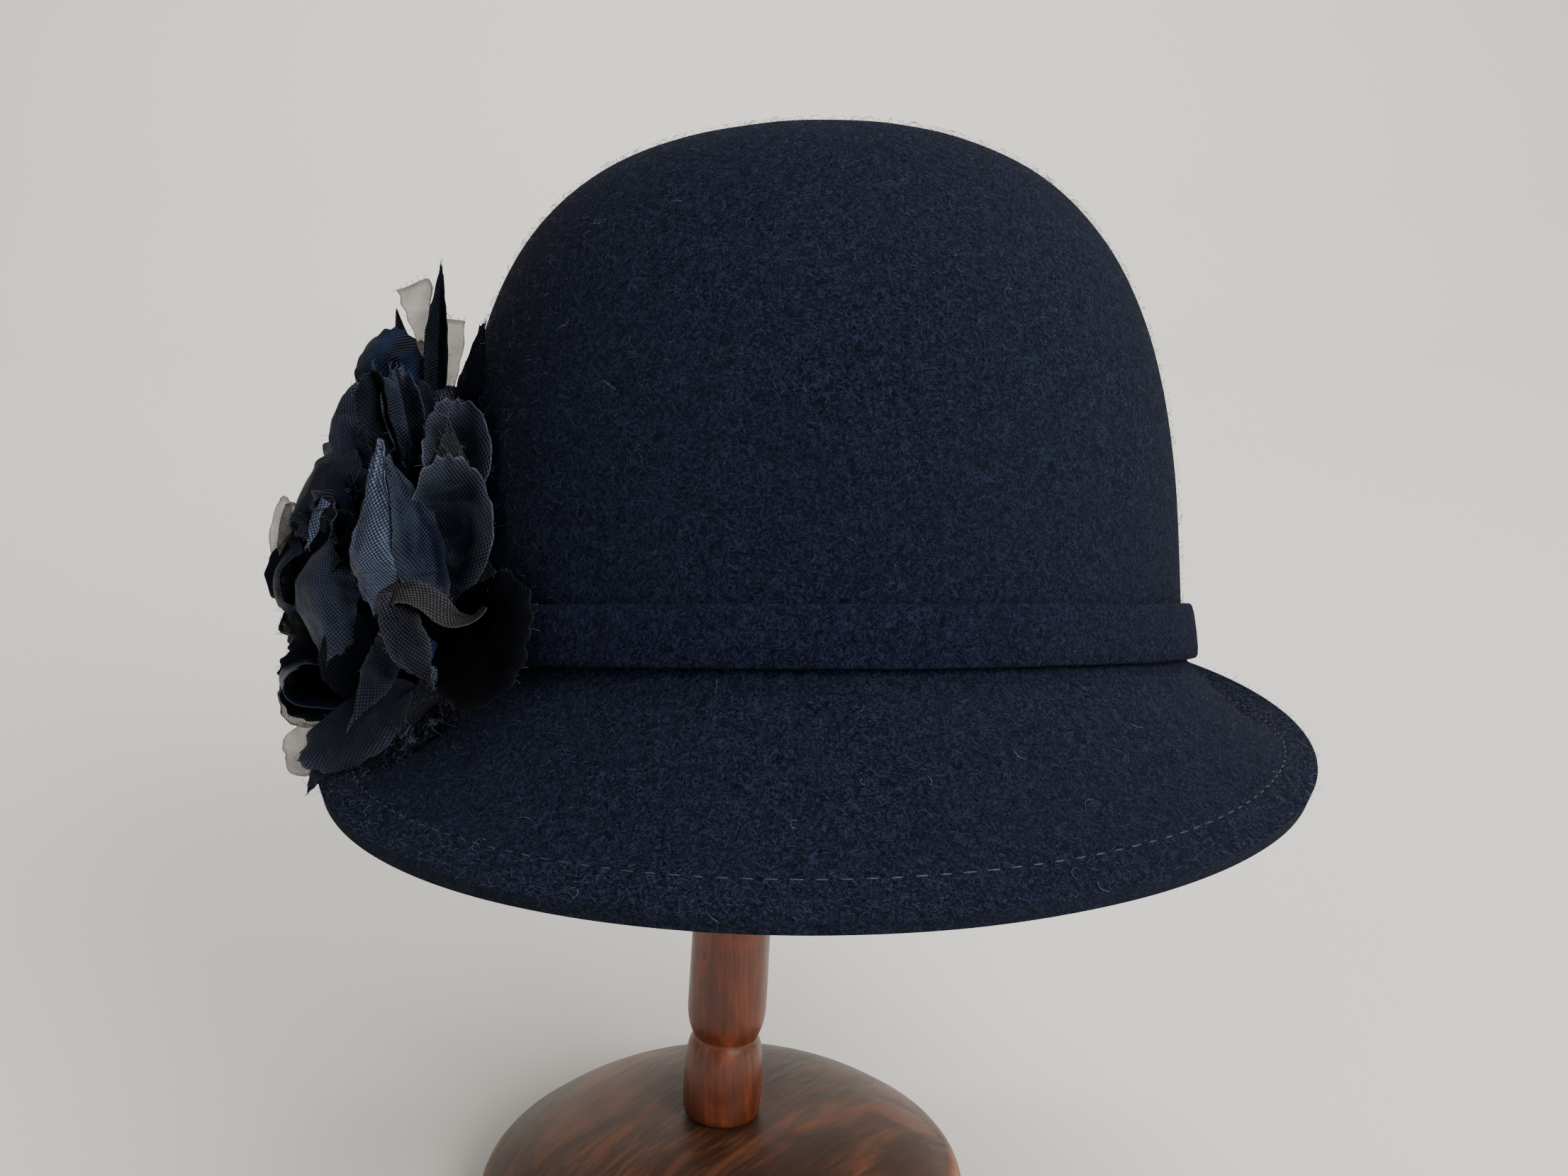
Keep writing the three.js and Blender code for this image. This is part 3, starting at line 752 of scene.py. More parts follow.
def make_fibres(hat, name, count, seed, size, lie, tone, span, steps=2, curl=0.9):
    """Loose fibres that lie on the felt: size is their shortest and longest length, in mm."""
    world = hat_matrix(hat)
    rng = random.Random(seed)
    paths = []
    while len(paths) < count:
        around = rng.uniform(0, FULL_TURN)
        station = rng.uniform(*span)
        here, normal = surface_spot(hat, around, station)
        if station < DOME_END and rng.random() > here.xy.length / hat.half_width:
            continue
        reach = rng.uniform(*size) * MM
        drift = Vector((rng.gauss(0, 1), rng.gauss(0, 1), rng.gauss(0, 1)))
        flat = (drift - normal * drift.dot(normal)).normalized()
        beside = normal.cross(flat)
        bend = rng.uniform(-curl, curl)
        path, spot = [], here
        for number in range(steps + 1):
            share = number / steps
            rise = lie * math.sin(share * math.pi * 0.6) + 0.12 * MM
            path.append(world @ (spot + normal * rise))
            ahead = flat * math.cos(bend * share) + beside * math.sin(bend * share)
            spot = spot + ahead * (reach / steps)
        paths.append(path)
    return thread_piece(name, paths, FIBRE, plain_thread_finish(name + "_wool", tone))


# ------------------------------------------------------------------ flower
FLOWER_PLACE = Vector((-83, -25.5, 32)) * MM
FLOWER_TURN = math.radians(193.2)


def flower_matrix(hat):
    """The flower's frame: X out of the crown, Y towards the hat's front, Z up the crown."""
    local = Matrix.Translation(FLOWER_PLACE) @ Matrix.Rotation(FLOWER_TURN, 4, "Z")
    return hat_matrix(hat) @ local


class Petal(NamedTuple):
    """A petal along a spine of root, middle and tip, in millimetres in the flower's frame."""

    name: str
    cloth: str
    spine: tuple
    face: tuple
    width: float
    cup: float = 0.0
    neck: float = 0.5
    flare: float = 1.8
    point: float = 0.0
    fold: float = 0.0
    curl: float = 0.0
    pleats: float = 0.0
    ruffle: float = 0.6
    crumple: float = 0.5
    weight: float = 0.3
    fray: float = 1.0


PETALS = (
    # the petals that face the hat's front, from the lowest layer to the highest
    Petal("petal_dark_round", "jet", ((8, 28, -23), (0, 47, -24), (-8, 61, -23)), (1, 0.9, 0.42),
          31, cup=-1.5, neck=0.85, curl=1.5, ruffle=0.5),
    Petal("petal_right_upper", "cupped", ((4, 26, 2), (1.5, 31, 14), (3, 25, 28)), (0.2, 1, 0.1),
          15, cup=4, ruffle=0.9),
    Petal("petal_right_inner", "taupe_dark", ((4, 32, 5), (3.6, 33.3, 13), (3.8, 32, 23.5)),
          (0, 1, 0.1), 13, cup=-0.6, neck=1.0, flare=3, point=1.0, ruffle=0.2, crumple=0.3,
          fray=0.3),
    Petal("petal_right_large", "cupped", ((7, 29, -20), (3.5, 35, -2), (4.5, 35.5, 15)),
          (0.15, 1, 0.15), 18, cup=3.2, neck=0.7, ruffle=0.7),
    Petal("petal_right_back", "black", ((6, 18, -16), (3, 22, 0), (6, 18, 18)), (0.4, 1, 0), 24,
          cup=2, neck=0.8),
    Petal("petal_right_tip", "black", ((0, 13, 20), (-3, 17, 33), (-5, 20, 45.5)), (0.4, 1, 0),
          9, cup=1.5, neck=0.9, point=0.75),
    Petal("petal_centre_back", "black", ((8, 30, -33), (4, 33, -18), (5, 30, -4)), (0.2, 1, 0),
          22, cup=1, neck=0.9),
    Petal("petal_low_back", "black", ((18, 20, -18), (20, 17, -28), (19, 15, -38)), (0.2, 1, 0),
          24, cup=1, neck=0.9),
    Petal("petal_small_frayed", "plum", ((3, 14, 24), (2, 14, 28), (1, 13, 32)), (0, 1, 0.3), 10,
          cup=-1, neck=0.9, ruffle=0.8),
    Petal("petal_upper_left", "slate_mid", ((20, 12, 13), (24, 8, 23), (20, 6, 34)),
          (0.5, 1, 0.3), 13, cup=-2, neck=0.7, crumple=0.9),
    Petal("petal_upper_fold", "black", ((13, 19, 10), (17, 18, 24), (19, 16, 36)), (0.6, 1, 0.1),
          8, cup=2.5, neck=0.7, fold=1.5, ruffle=0.8),
    Petal("petal_upper_fold_middle", "slate_dark", ((9, 19, 9), (12, 17, 24), (14, 14, 36)),
          (0.1, 1, 0), 9, cup=2.5, neck=0.7, fold=2.0, ruffle=0.9),
    Petal("petal_upper_fold_right", "black", ((6, 18, 12), (7, 16, 24), (10, 13, 34)),
          (-0.3, 1, 0), 8, cup=-2, neck=0.8, ruffle=0.7),
    Petal("petal_left_upper", "slate_dark", ((22, 13, 17), (30, 9, 11), (36, 4, -1)),
          (0.5, 1, 0.5), 15, cup=-3, neck=0.75, ruffle=0.8),
    Petal("petal_left_dark", "black", ((27, 10, 4), (34, 6, -3), (38, 3, -11)), (0.7, 1, 0.3),
          12, cup=-2, neck=0.8, ruffle=1.2, crumple=1.1),
    Petal("petal_left_behind", "black", ((28, 3, 2), (36, 1.5, -7), (39, 0, -17)), (0.5, 1, 0),
          15, cup=-1, neck=0.9, ruffle=1.0),
    Petal("petal_left_dark_low", "black", ((27, 10, -10), (34, 6, -17), (39, 2, -25)),
          (0.7, 1, 0.1), 14, cup=-2, neck=0.8, ruffle=1.2, crumple=1.1),
    Petal("petal_left_tab", "taupe", ((33, 5, -18), (36, 3, -20), (39.5, 1, -21)), (0.4, 1, 0.4),
          5.5, cup=-0.6, neck=0.9, ruffle=0.4),
    Petal("petal_left_lower", "slate_mid", ((24, 18, 0), (31, 18, -12), (29, 15, -28)),
          (0.6, 1, 0.2), 17, cup=-3.5, neck=0.6, crumple=1.0, ruffle=0.9),
    Petal("petal_lower", "slate_dark", ((12, 26, -34), (23, 20.5, -41.5), (36.5, 12, -50)),
          (0.3, 1, 0.5), 16, cup=-2.5, neck=0.75, ruffle=0.8),
    Petal("petal_lower_spike", "slate_dark", ((30, 13, -50), (33, 10, -54), (35, 8, -58)),
          (0.3, 1, 0.3), 5, cup=0.5, neck=0.9, point=0.9, ruffle=0.3),
    Petal("petal_lower_left_outer", "black", ((20, 9, -33), (31, 5, -33), (41, 1, -32)),
          (0.3, 1, 0.1), 19, cup=2.5, neck=0.7, ruffle=1.1),
    Petal("petal_blue_inner", "blue", ((13, 31, -19), (9, 32, -25), (6, 32, -32)),
          (-0.2, 1, 0.3), 10, cup=-1, neck=0.9, point=0.5),
    Petal("petal_small_tab", "slate_mid", ((9, 36, -30), (7, 37, -32), (4, 37, -33)),
          (0, 1, 0.4), 4, cup=-0.5, neck=0.9, ruffle=0.3),
    Petal("petal_centre_fold", "fold", ((17, 35, 15), (10, 39, -3), (8, 38, -19)),
          (-0.5, 1, 0.15), 13, cup=-2, neck=0.45, crumple=0.9, ruffle=0.7),
    Petal("petal_centre_satin", "slate", ((18, 32, 19), (20, 38, -4), (18, 36, -19)),
          (0.5, 1, 0.25), 14, cup=-2.5, neck=0.3, flare=1.4, crumple=1.0, ruffle=0.9,
          pleats=0.4),
    # the upright tips behind them
    Petal("petal_top_spike", "black", ((5, 7, 24), (4, 7, 44), (3, 6, 61)), (0.4, 1, 0), 8,
          cup=1, neck=0.8, point=0.85, fold=2, ruffle=0.3),
    Petal("petal_top_sliver", "black", ((7, 6, 26), (6.5, 6, 38), (5.5, 6, 50)), (0, 1, 0), 3.5,
          cup=0.6, neck=0.9, point=0.8, ruffle=0.2),
    Petal("petal_top_small", "taupe_dark", ((12, -2, 40), (12, -3, 45), (13, -3, 52)), (0, 1, 0),
          5, cup=0.6, neck=0.9, point=0.9, ruffle=0.3),
    Petal("organza_top_stem", "organza_dark", ((7, 4, 24), (8, 3, 34), (8, 2, 44)), (0, 1, 0), 6,
          cup=1, neck=0.8, ruffle=0.5, weight=0.2, fray=0.4),
    Petal("organza_left", "organza", ((38, -3, -13), (39.6, -4, -2), (38.8, -4, 9)), (0.3, 1, 0),
          5.5, cup=0.6, neck=0.9, ruffle=0.6, weight=0.2, fray=0.4),
    Petal("organza_left_dark", "organza_dark", ((36.5, 0, -12), (37.8, -1, -2), (37, -2, 7.5)),
          (0.3, 1, 0), 5.5, cup=0.6, neck=0.9, ruffle=0.5, weight=0.2, fray=0.4),
    Petal("organza_lower", "organza", ((29, 8, -45), (35, 7, -48), (40, 5, -48.8)),
          (0.3, 1, 0.3), 12.5, cup=0.8, neck=0.8, ruffle=0.9, weight=0.2, fray=0.4),
    Petal("organza_lower_left", "organza_dark", ((26, 4, -36), (34, 1, -37), (41, -1, -36)),
          (0.3, 1, 0.2), 14, cup=1, neck=0.8, ruffle=1.1, weight=0.2, fray=0.4),
    Petal("ribbon_loop_top", "grosgrain", ((12, 5, 24), (16, 4, 38), (13, 0, 47)),
          (0.4, 1, 0.45), 17, cup=-4, neck=0.9, ruffle=0.3, crumple=0.3),
    # the petals on the hidden side
    Petal("petal_back_upper", "black", ((7, -9, 8), (13, -20, 24), (12, -33, 36)), (1, 0, 0.1),
          19, cup=6, point=0.2, crumple=1.1, ruffle=1.2),
    Petal("petal_back_middle", "slate_dark", ((8, -11, 0), (15, -26, 3), (13, -41, 1)),
          (1, 0, 0), 23, cup=6, point=0.15, crumple=1.1, ruffle=1.2),
    Petal("petal_back_lower", "black", ((7, -9, -10), (13, -20, -23), (12, -32, -33)),
          (1, 0, -0.1), 20, cup=6, point=0.2, crumple=1.1, ruffle=1.2),
    Petal("petal_back_inner", "slate_mid", ((15, -5, 6), (24, -13, 12), (30, -20, 14)),
          (1, 0.4, 0), 20, cup=4, ruffle=1.0),
    Petal("petal_back_inner_low", "slate_dark", ((15, -5, -8), (23, -12, -16), (29, -18, -20)),
          (1, 0.4, 0), 19, cup=4, ruffle=1.0),
)

HEART = Vector((13, 5, -4))
INNER_PETALS = 11
# each ring's first turn in steps of its petals, its reach, its petals' width and its lift
LAYERS = ((0.0, 27, 21, 3.0), (0.5, 19, 17, 11.0), (0.25, 13, 14, 18.0))


def inner_petals():
    """Three rings of dark petals about the heart, which close the gaps between the shaped ones."""
    made = []
    out, up = Vector((0.93, 0.36, 0)).normalized(), Vector((0, 0, 1))
    side = up.cross(out)
    for layer, (start, reach, width, lift) in enumerate(LAYERS):
        for number in range(INNER_PETALS - 2 * layer):
            turn = FULL_TURN * (number + start) / (INNER_PETALS - 2 * layer)
            ray = side * math.cos(turn) + up * math.sin(turn)
            root = HEART + out * (lift - 6) + ray * 3
            middle = HEART + out * lift + ray * reach * 0.6
            tip = HEART + out * (lift - 3 * math.cos(turn) ** 2)
            tip += ray * (reach + 2 * math.sin(3 * turn))
            face = out * 1.0 - ray * 0.25
            made.append(Petal(
                f"petal_inner_{layer}_{number}", ("black", "slate_dark", "black")[number % 3],
                (tuple(root), tuple(middle), tuple(tip)), tuple(face), width,
                cup=3.0, neck=0.5, ruffle=1.1, crumple=0.9,
            ))
    return made


def through(points, share):
    """A smooth point on the route through the given points."""
    spans = len(points) - 1
    place = min(max(share, 0.0), 1.0) * spans
    span = min(int(place), spans - 1)
    t = place - span
    near, far = points[span], points[span + 1]
    before = points[span - 1] if span > 0 else near * 2 - far
    after = points[span + 2] if span + 2 <= spans else far * 2 - near
    return 0.5 * (
        2 * near + (far - before) * t + (2 * before - 5 * near + 4 * far - after) * t * t
        + (3 * near - before - 3 * far + after) * t * t * t
    )


def heading(points, share, step):
    """Which way the route runs at a share of its length."""
    ahead, behind = min(share + step, 1), max(share - step, 0)
    return (through(points, ahead) - through(points, behind)).normalized()


def route_length(points):
    return sum((far - near).length for near, far in zip(points, points[1:]))


def petal_maps(petal, phase):
    """Returns two maps of a square grid: to the petal cut flat, and to its place in the flower."""
    spine = [Vector(point) for point in petal.spine]
    reach = route_length(spine)
    face_wanted = Vector(petal.face)

    def flat(x, y):
        upward = y * math.sqrt(1 - 0.5 * x * x)
        share = (upward + 1) / 2
        taper = petal.neck + (1 - petal.neck) * smooth_step(share * petal.flare)
        taper *= 1 - petal.point * share ** 1.4
        return x * math.sqrt(1 - 0.5 * y * y) * taper * petal.width / 2, share * reach

    def place(x, y):
        across, upward = flat(x, y)
        share = upward / reach
        rim = max(abs(x), abs(y))
        turn = math.atan2(y, x)
        edge = across / (petal.width / 2)
        here = through(spine, share)
        along = heading(spine, share, 0.03)
        face = (face_wanted - along * face_wanted.dot(along)).normalized()
        side = face.cross(along)
        spot = Vector((across * 0.11, upward * 0.11, phase))
        rise = petal.cup * edge * edge + petal.fold * abs(edge)
        for finer, depth in ((1, 1.5), (2.7, 0.7), (6, 0.3)):
            rise += petal.crumple * depth * noise.noise(spot * finer)
        rise += petal.pleats * (1 - edge) * math.sin(upward * 1.7 + 4 * noise.noise(spot * 2))
        rise += petal.ruffle * rim ** 4 * math.sin(5 * turn + phase)
        rise += petal.ruffle * 0.45 * rim ** 6 * math.sin(12 * turn + 2.3 * phase)
        rise -= petal.curl * max(0.0, share - 0.55) ** 2 * 9
        nicks = math.sin(17 * turn + phase) + 0.5 * math.sin(31 * turn)
        nick = 1 + 0.022 * petal.fray * rim ** 8 * nicks
        return here + side * across * nick + along * (upward * (nick - 1)) + face * rise

    return flat, place


def cloth_piece(part, cells, maps, world, cloths):
    """A grid of cloth sent to its place, with its flat cut in metres as the weave's UV map."""
    flat, place = maps
    work = bmesh.new()
    bmesh.ops.create_grid(work, x_segments=cells[0], y_segments=cells[1], size=1.0)
    weave = work.loops.layers.uv.new("weave")
    rim = work.verts.layers.float.new("rim")
    for vert in work.verts:
        x, y = vert.co.x, vert.co.y
        vert[rim] = max(abs(x), abs(y))
        for loop in vert.link_loops:
            loop[weave].uv = tuple(size * MM for size in flat(x, y))
        vert.co = world @ (place(x, y) * MM)
    nodes = [part.name] if part.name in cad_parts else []
    piece = finished(part.name + "_cloth", work, cloths[part.cloth], nodes)
    thick = piece.modifiers.new("Cloth", "SOLIDIFY")
    thick.thickness = part.weight * MM
    thick.offset = 0
    with_levels(piece, 1)
    return piece


def cut_area(flat, steps=20):
    """Area of a petal cut flat, from the outline that its grid's four sides make."""
    side = [2 * step / steps - 1 for step in range(steps)]
    walk = [(at, -1) for at in side] + [(1, at) for at in side]
    walk += [(-at, 1) for at in side] + [(-1, -at) for at in side]
    outline = [flat(x, y) for x, y in walk]
    pairs = zip(outline, outline[1:] + outline[:1])
    return abs(sum(here[0] * there[1] - there[0] * here[1] for here, there in pairs)) / 2


PETAL_CELLS = (20, 20)
RIBBON_CELLS = (8, 44)
LEAST_SHEET = 10


def all_petals():
    """Every petal with its two maps; the phase keeps the petals' ruffles apart."""
    petals = (*PETALS, *inner_petals())
    return [(petal, petal_maps(petal, number * 1.7)) for number, petal in enumerate(petals)]


def all_ribbons():
    return [(ribbon, ribbon_maps(ribbon, 40 + number)) for number, ribbon in enumerate(RIBBONS)]


def make_petals(hat, cloths):
    world = flower_matrix(hat)
    for petal, maps in all_petals():
        piece = cloth_piece(petal, PETAL_CELLS, maps, world, cloths)
        reach = route_length([Vector(point) for point in petal.spine])
        if min(petal.width, reach) >= LEAST_SHEET:
            petal.width * MM
            cut_area(maps[0]) * MM * MM


class Ribbon(NamedTuple):
    """A strip of cloth through a few points, in millimetres in the flower's frame."""

    name: str
    cloth: str
    route: tuple
    faces: tuple
    width: float
    start: float = 1.0
    end: float = 1.0
    spread: float = 4.0
    wander: float = 0.06
    weight: float = 0.3


RIBBONS = (
    Ribbon("petal_curled_strip", "taupe",
          ((18, 37, -18), (16, 40, -14), (10, 43, -15), (4, 45, -20), (-1, 46, -19),
           (-4, 44, -13)),
          ((0.3, 1, 0.3), (0.2, 0.9, 1), (0.0, 1, 0.7), (0, 0.5, 1), (0.5, 0.2, 1), (1, 0.2, 0.6)),
          7, end=0.35),
    Ribbon("strip_upper", "plum_dark",
          ((15, 40, -14), (15, 42, -21), (12, 42, -28), (8.5, 40, -34)),
          ((0.3, 1, 0.4), (0.3, 1, 0), (0.1, 1, 0), (0, 1, -0.1)), 9, end=0.05),
    Ribbon("strip_lower", "slate_dark",
          ((15, 34, -22), (18, 32, -28), (21, 30, -34), (26, 26, -43)),
          ((0.5, 1, 0.2), (0.3, 1, 0.2), (0.4, 1, 0.1), (0.5, 1, 0)), 8, end=0.05),
    Ribbon("petal_lower_left_loop", "blue_gloss",
          ((18, 13, -31), (28, 10, -29), (36, 8, -29), (40, 6.5, -33), (37, 8, -37.5),
           (28, 10, -38), (18, 13, -36)),
          ((0, 0.3, 1), (0, 0.2, 1), (0.4, 0.1, 1), (1, 0.2, 0), (0.4, -0.1, -1), (0, -0.3, -1),
           (0, -0.3, -1)),
          8),
    Ribbon("organza_top_left", "organza",
          ((7.4, 3, 36), (7.8, 2.5, 45), (8.3, 2, 51), (9.4, 0.5, 57)),
          ((0.1, 1, 0.1), (0.3, 1, 0), (0.1, 1, 0.2), (0.5, 1, 0.6)), 8.5, start=0.12,
          spread=0.95, wander=0.12, weight=0.2),
    Ribbon("organza_top_right", "organza", ((1.8, 0, 30), (0.8, -0.5, 40), (-0.2, -1, 49.3)),
          ((0.1, 1, 0), (0.3, 1, 0), (0, 1, 0.2)), 5, start=0.4, spread=1.6, wander=0.12,
          weight=0.2),
    Ribbon("ribbon_loop_small", "grosgrain",
          ((31.5, 14, 0.5), (30.5, 16, 5), (27.8, 17, 7.6), (25, 17, 6), (24, 16, 1.5)),
          ((1, 0.8, 0.1), (0.8, 0.9, 0.7), (0, 0.9, 1), (-0.5, 0.9, 0.8), (-0.8, 0.8, 0.2)),
          5.5),
    Ribbon("twisted_strip", "slate",
          ((29.5, 18, 6.5), (31.5, 18.5, 3.5), (32.5, 18, 0), (33.5, 17, -3)),
          ((0.3, 1, 0), (0.9, 0.6, 0.2), (0.2, 1, 0), (0.6, 1, 0)), 2.4, end=0.3),
    Ribbon("petal_left_dark_loop", "navy",
          ((35, 6, -3), (39, 5, -6), (41, 4.5, -11), (39.5, 4, -16), (35, 5, -18.5)),
          ((0.3, 0.5, 0.8), (0.8, 0.4, 0.5), (1, 0.4, 0), (0.8, 0.4, -0.5), (0.3, 0.5, -0.8)),
          4.5),
    Ribbon("velvet_strip", "velvet", ((4, 31, -39), (10, 29, -44), (17, 25, -50), (25, 21, -57)),
          ((0.6, 1, 0.9), (0.6, 1, 0.9), (0.6, 1, 0.9), (0.6, 1, 0.9)), 8, end=0.2, weight=1.4),
)


# how often a ribbon's edges wander along it; loose ones wander further and less often
TIGHT_PACE = 22
LOOSE_PACE = 5
LOOSE_WANDER = 0.1


def ribbon_maps(ribbon, phase):
    """Returns two maps of a square grid: to the ribbon cut flat, and to its place in the flower."""
    route = [Vector(point) for point in ribbon.route]
    faces = [Vector(face).normalized() for face in ribbon.faces]
    reach = route_length(route)

    def flat(x, y):
        share = (y + 1) / 2
        ends = ribbon.start + (1 - ribbon.start) * smooth_step(share * ribbon.spread)
        ends *= ribbon.end + (1 - ribbon.end) * smooth_step((1 - share) * 2.2)
        return x * ribbon.width / 2 * ends, share * reach

    def place(x, y):
        across, upward = flat(x, y)
        share = upward / reach
        here = through(route, share)
        ahead = heading(route, share, 0.02)
        face = through(faces, share)
        side = (face - ahead * face.dot(ahead)).normalized().cross(ahead)
        spot = Vector((across * 0.2, upward * 0.2, phase))
        pace = TIGHT_PACE if ribbon.wander < LOOSE_WANDER else LOOSE_PACE
        uneven = ribbon.wander * ribbon.width * noise.noise(Vector((share * pace, phase, x)))
        return here + side * (across + uneven * x) + face * (noise.noise(spot) * 0.9)

    return flat, place


def make_ribbons(hat, cloths):
    world = flower_matrix(hat)
    for ribbon, maps in all_ribbons():
        cloth_piece(ribbon, RIBBON_CELLS, maps, world, cloths)


# how many petals fray, from the head of the list to the first upright tip
FRAYED_PETALS = 27
LOOSE_THREAD = 0.07 * MM
LONG_THREADS = (
    ((8, 34, -41), (3, 37, -43), (-2, 40, -44.5), (-6, 43, -44), (-8, 44, -45)),
    ((9, 33, -42), (8, 35, -43.5), (6, 35.5, -45), (7, 35, -47)),
)


def make_fray(hat):
    """Threads that have come loose along the cut edges, and two long ones on the brim."""
    world = flower_matrix(hat)
    rng = random.Random(31)
    paths = []
    cuts = [(maps[1], 16) for petal, maps in all_petals()[:FRAYED_PETALS]]
    cuts += [(maps[1], 14) for ribbon, maps in all_ribbons()]
    for place, count in cuts:
        for number in range(count):
            along = rng.uniform(-1, 1)
            corner = (rng.choice((-1, 1)), along) if rng.random() < 0.5 else (along, 1)
            edge = place(*corner)
            outward = (edge - place(corner[0] * 0.93, corner[1] * 0.93)).normalized()
            bend = Vector((rng.gauss(0, 1), rng.gauss(0, 1), rng.gauss(0, 1))) * 0.5
            reach = rng.uniform(0.3, 1.3)
            paths.append([
                world @ ((edge + (outward * step + bend * step * step) * reach) * MM)
                for step in (-0.15, 0.3, 0.65, 1.0)
            ])
    for route in LONG_THREADS:
        points = [Vector(point) for point in route]
        paths.append([world @ (through(points, step / 14) * MM) for step in range(15)])
    loose = plain_thread_finish("loose_thread", (0.045, 0.047, 0.056))
    return thread_piece("flower_fray", paths, LOOSE_THREAD, loose)


HEART_SIZE = (9, 7.5, 8.5)
HEART_OUT = Vector((3, 0, 0))


def make_flower_heart(hat, cloths):
    """The gathered heart that the petals are sewn to."""
    world = flower_matrix(hat)
    work = bmesh.new()
    bmesh.ops.create_uvsphere(work, u_segments=32, v_segments=20, radius=1.0)
    for vert in work.verts:
        turn = math.atan2(vert.co.z, vert.co.y)
        pleat = 1 + 0.14 * math.sin(7 * turn + 5 * vert.co.x)
        wide, deep, high = HEART_SIZE
        size = Vector((wide * vert.co.x, deep * vert.co.y * pleat, high * vert.co.z * pleat))
        vert.co = world @ ((HEART + HEART_OUT + size) * MM)
    finished("flower_bud_gathered", work, cloths["velvet"], ["flower_bud"])


# each satin's tone, the colour of the painted sheen on its rim and folds, and how mirror-like it is
CLOTHS = {
    "jet": ((0.0004, 0.0005, 0.0008), (0.024, 0.026, 0.034), 0.02),
    "black": ((0.0009, 0.0011, 0.0017), (0.020, 0.021, 0.027), 0.06),
    # a black satin whose strong sheen colour is a painted highlight, glowing towards the rims of
    # the cup-shaped petals
    "cupped": ((0.0009, 0.0012, 0.0023), (0.135, 0.152, 0.21), 0.05),
    "slate": ((0.0215, 0.0262, 0.044), (0.11, 0.125, 0.18), 0.3),
    "slate_mid": ((0.0095, 0.0113, 0.0205), (0.09, 0.10, 0.145), 0.25),
    "slate_dark": ((0.0036, 0.0042, 0.0074), (0.078, 0.086, 0.12), 0.16),
    "fold": ((0.0027, 0.0033, 0.0072), (0.085, 0.095, 0.135), 0.14),
    "navy": ((0.0017, 0.0026, 0.0072), (0.045, 0.056, 0.095), 0.06),
    "blue": ((0.0025, 0.0070, 0.032), (0.015, 0.03, 0.09), 0.25),
    "blue_gloss": ((0.0022, 0.0036, 0.0105), (0.04, 0.05, 0.085), 0.3),
    "plum": ((0.0090, 0.0085, 0.0130), (0.05, 0.05, 0.065), 0.1),
    "plum_dark": ((0.0050, 0.0048, 0.0068), (0.085, 0.083, 0.10), 0.12),
    "taupe": ((0.0125, 0.0108, 0.0108), (0.10, 0.092, 0.088), 0.12),
    "taupe_dark": ((0.0036, 0.0031, 0.0030), (0.08, 0.073, 0.068), 0.08),
}


def make_cloths():
    """All the flower's cloths by name."""
    cloths = {name: satin_finish("satin_" + name, *looks) for name, looks in CLOTHS.items()}
    cloths["organza"] = organza_finish("organza_pale", (0.22, 0.20, 0.178), 0.58)
    cloths["organza_dark"] = organza_finish("organza_smoke", (0.035, 0.030, 0.027), 0.62)
    cloths["grosgrain"] = grosgrain_finish(
        "grosgrain", (0.0015, 0.0026, 0.0085), (0.010, 0.028, 0.085))
    cloths["velvet"] = velvet_finish("velvet", (0.0018, 0.0024, 0.0048), (0.06, 0.068, 0.10))
    return cloths


# ------------------------------------------------------------------ stand
LEAN = math.radians(3.5)
BASE_EDGE = 7.5 * MM
BASE_EDGE_END = 63
BASE_DOME_POWER = 3.6
# the turned post: radius and height above its foot, in millimetres
POST_PROFILE = (
    (0, 0), (9.2, 0), (9.8, 0.5), (10.05, 1.6), (10.28, 6), (10.25, 12), (10.15, 16), (9.65, 19.4),
    (9.05, 21.4), (8.4, 22.5), (8.4, 23.1), (9.0, 24.4), (9.65, 26.2), (10.1, 28.8), (10.2, 31.8),
    (10.1, 40.8), (9.9, 56.8),
)
POST_TOP_RADIUS = 9.4 * MM
POST_CLEARANCE = 0.7 * MM
# the plain dome on the post, up the leaning post from its foot
TOP_BOTTOM = 221.35 * MM
TOP_RADIUS = 36 * MM
TOP_HEIGHT = 27 * MM
TOP_EDGE = 5 * MM


def stand_lean():
    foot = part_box("stand_post")[0].z
    return Matrix.Translation((0, 0, foot)) @ Matrix.Rotation(LEAN, 4, "Y")


def leaning_place():
    """Sends a turned profile's points up along the leaning post."""
    lean = stand_lean()

    def place(around, out, up):
        return lean @ Vector((math.cos(around) * out, math.sin(around) * out, up))

    return place


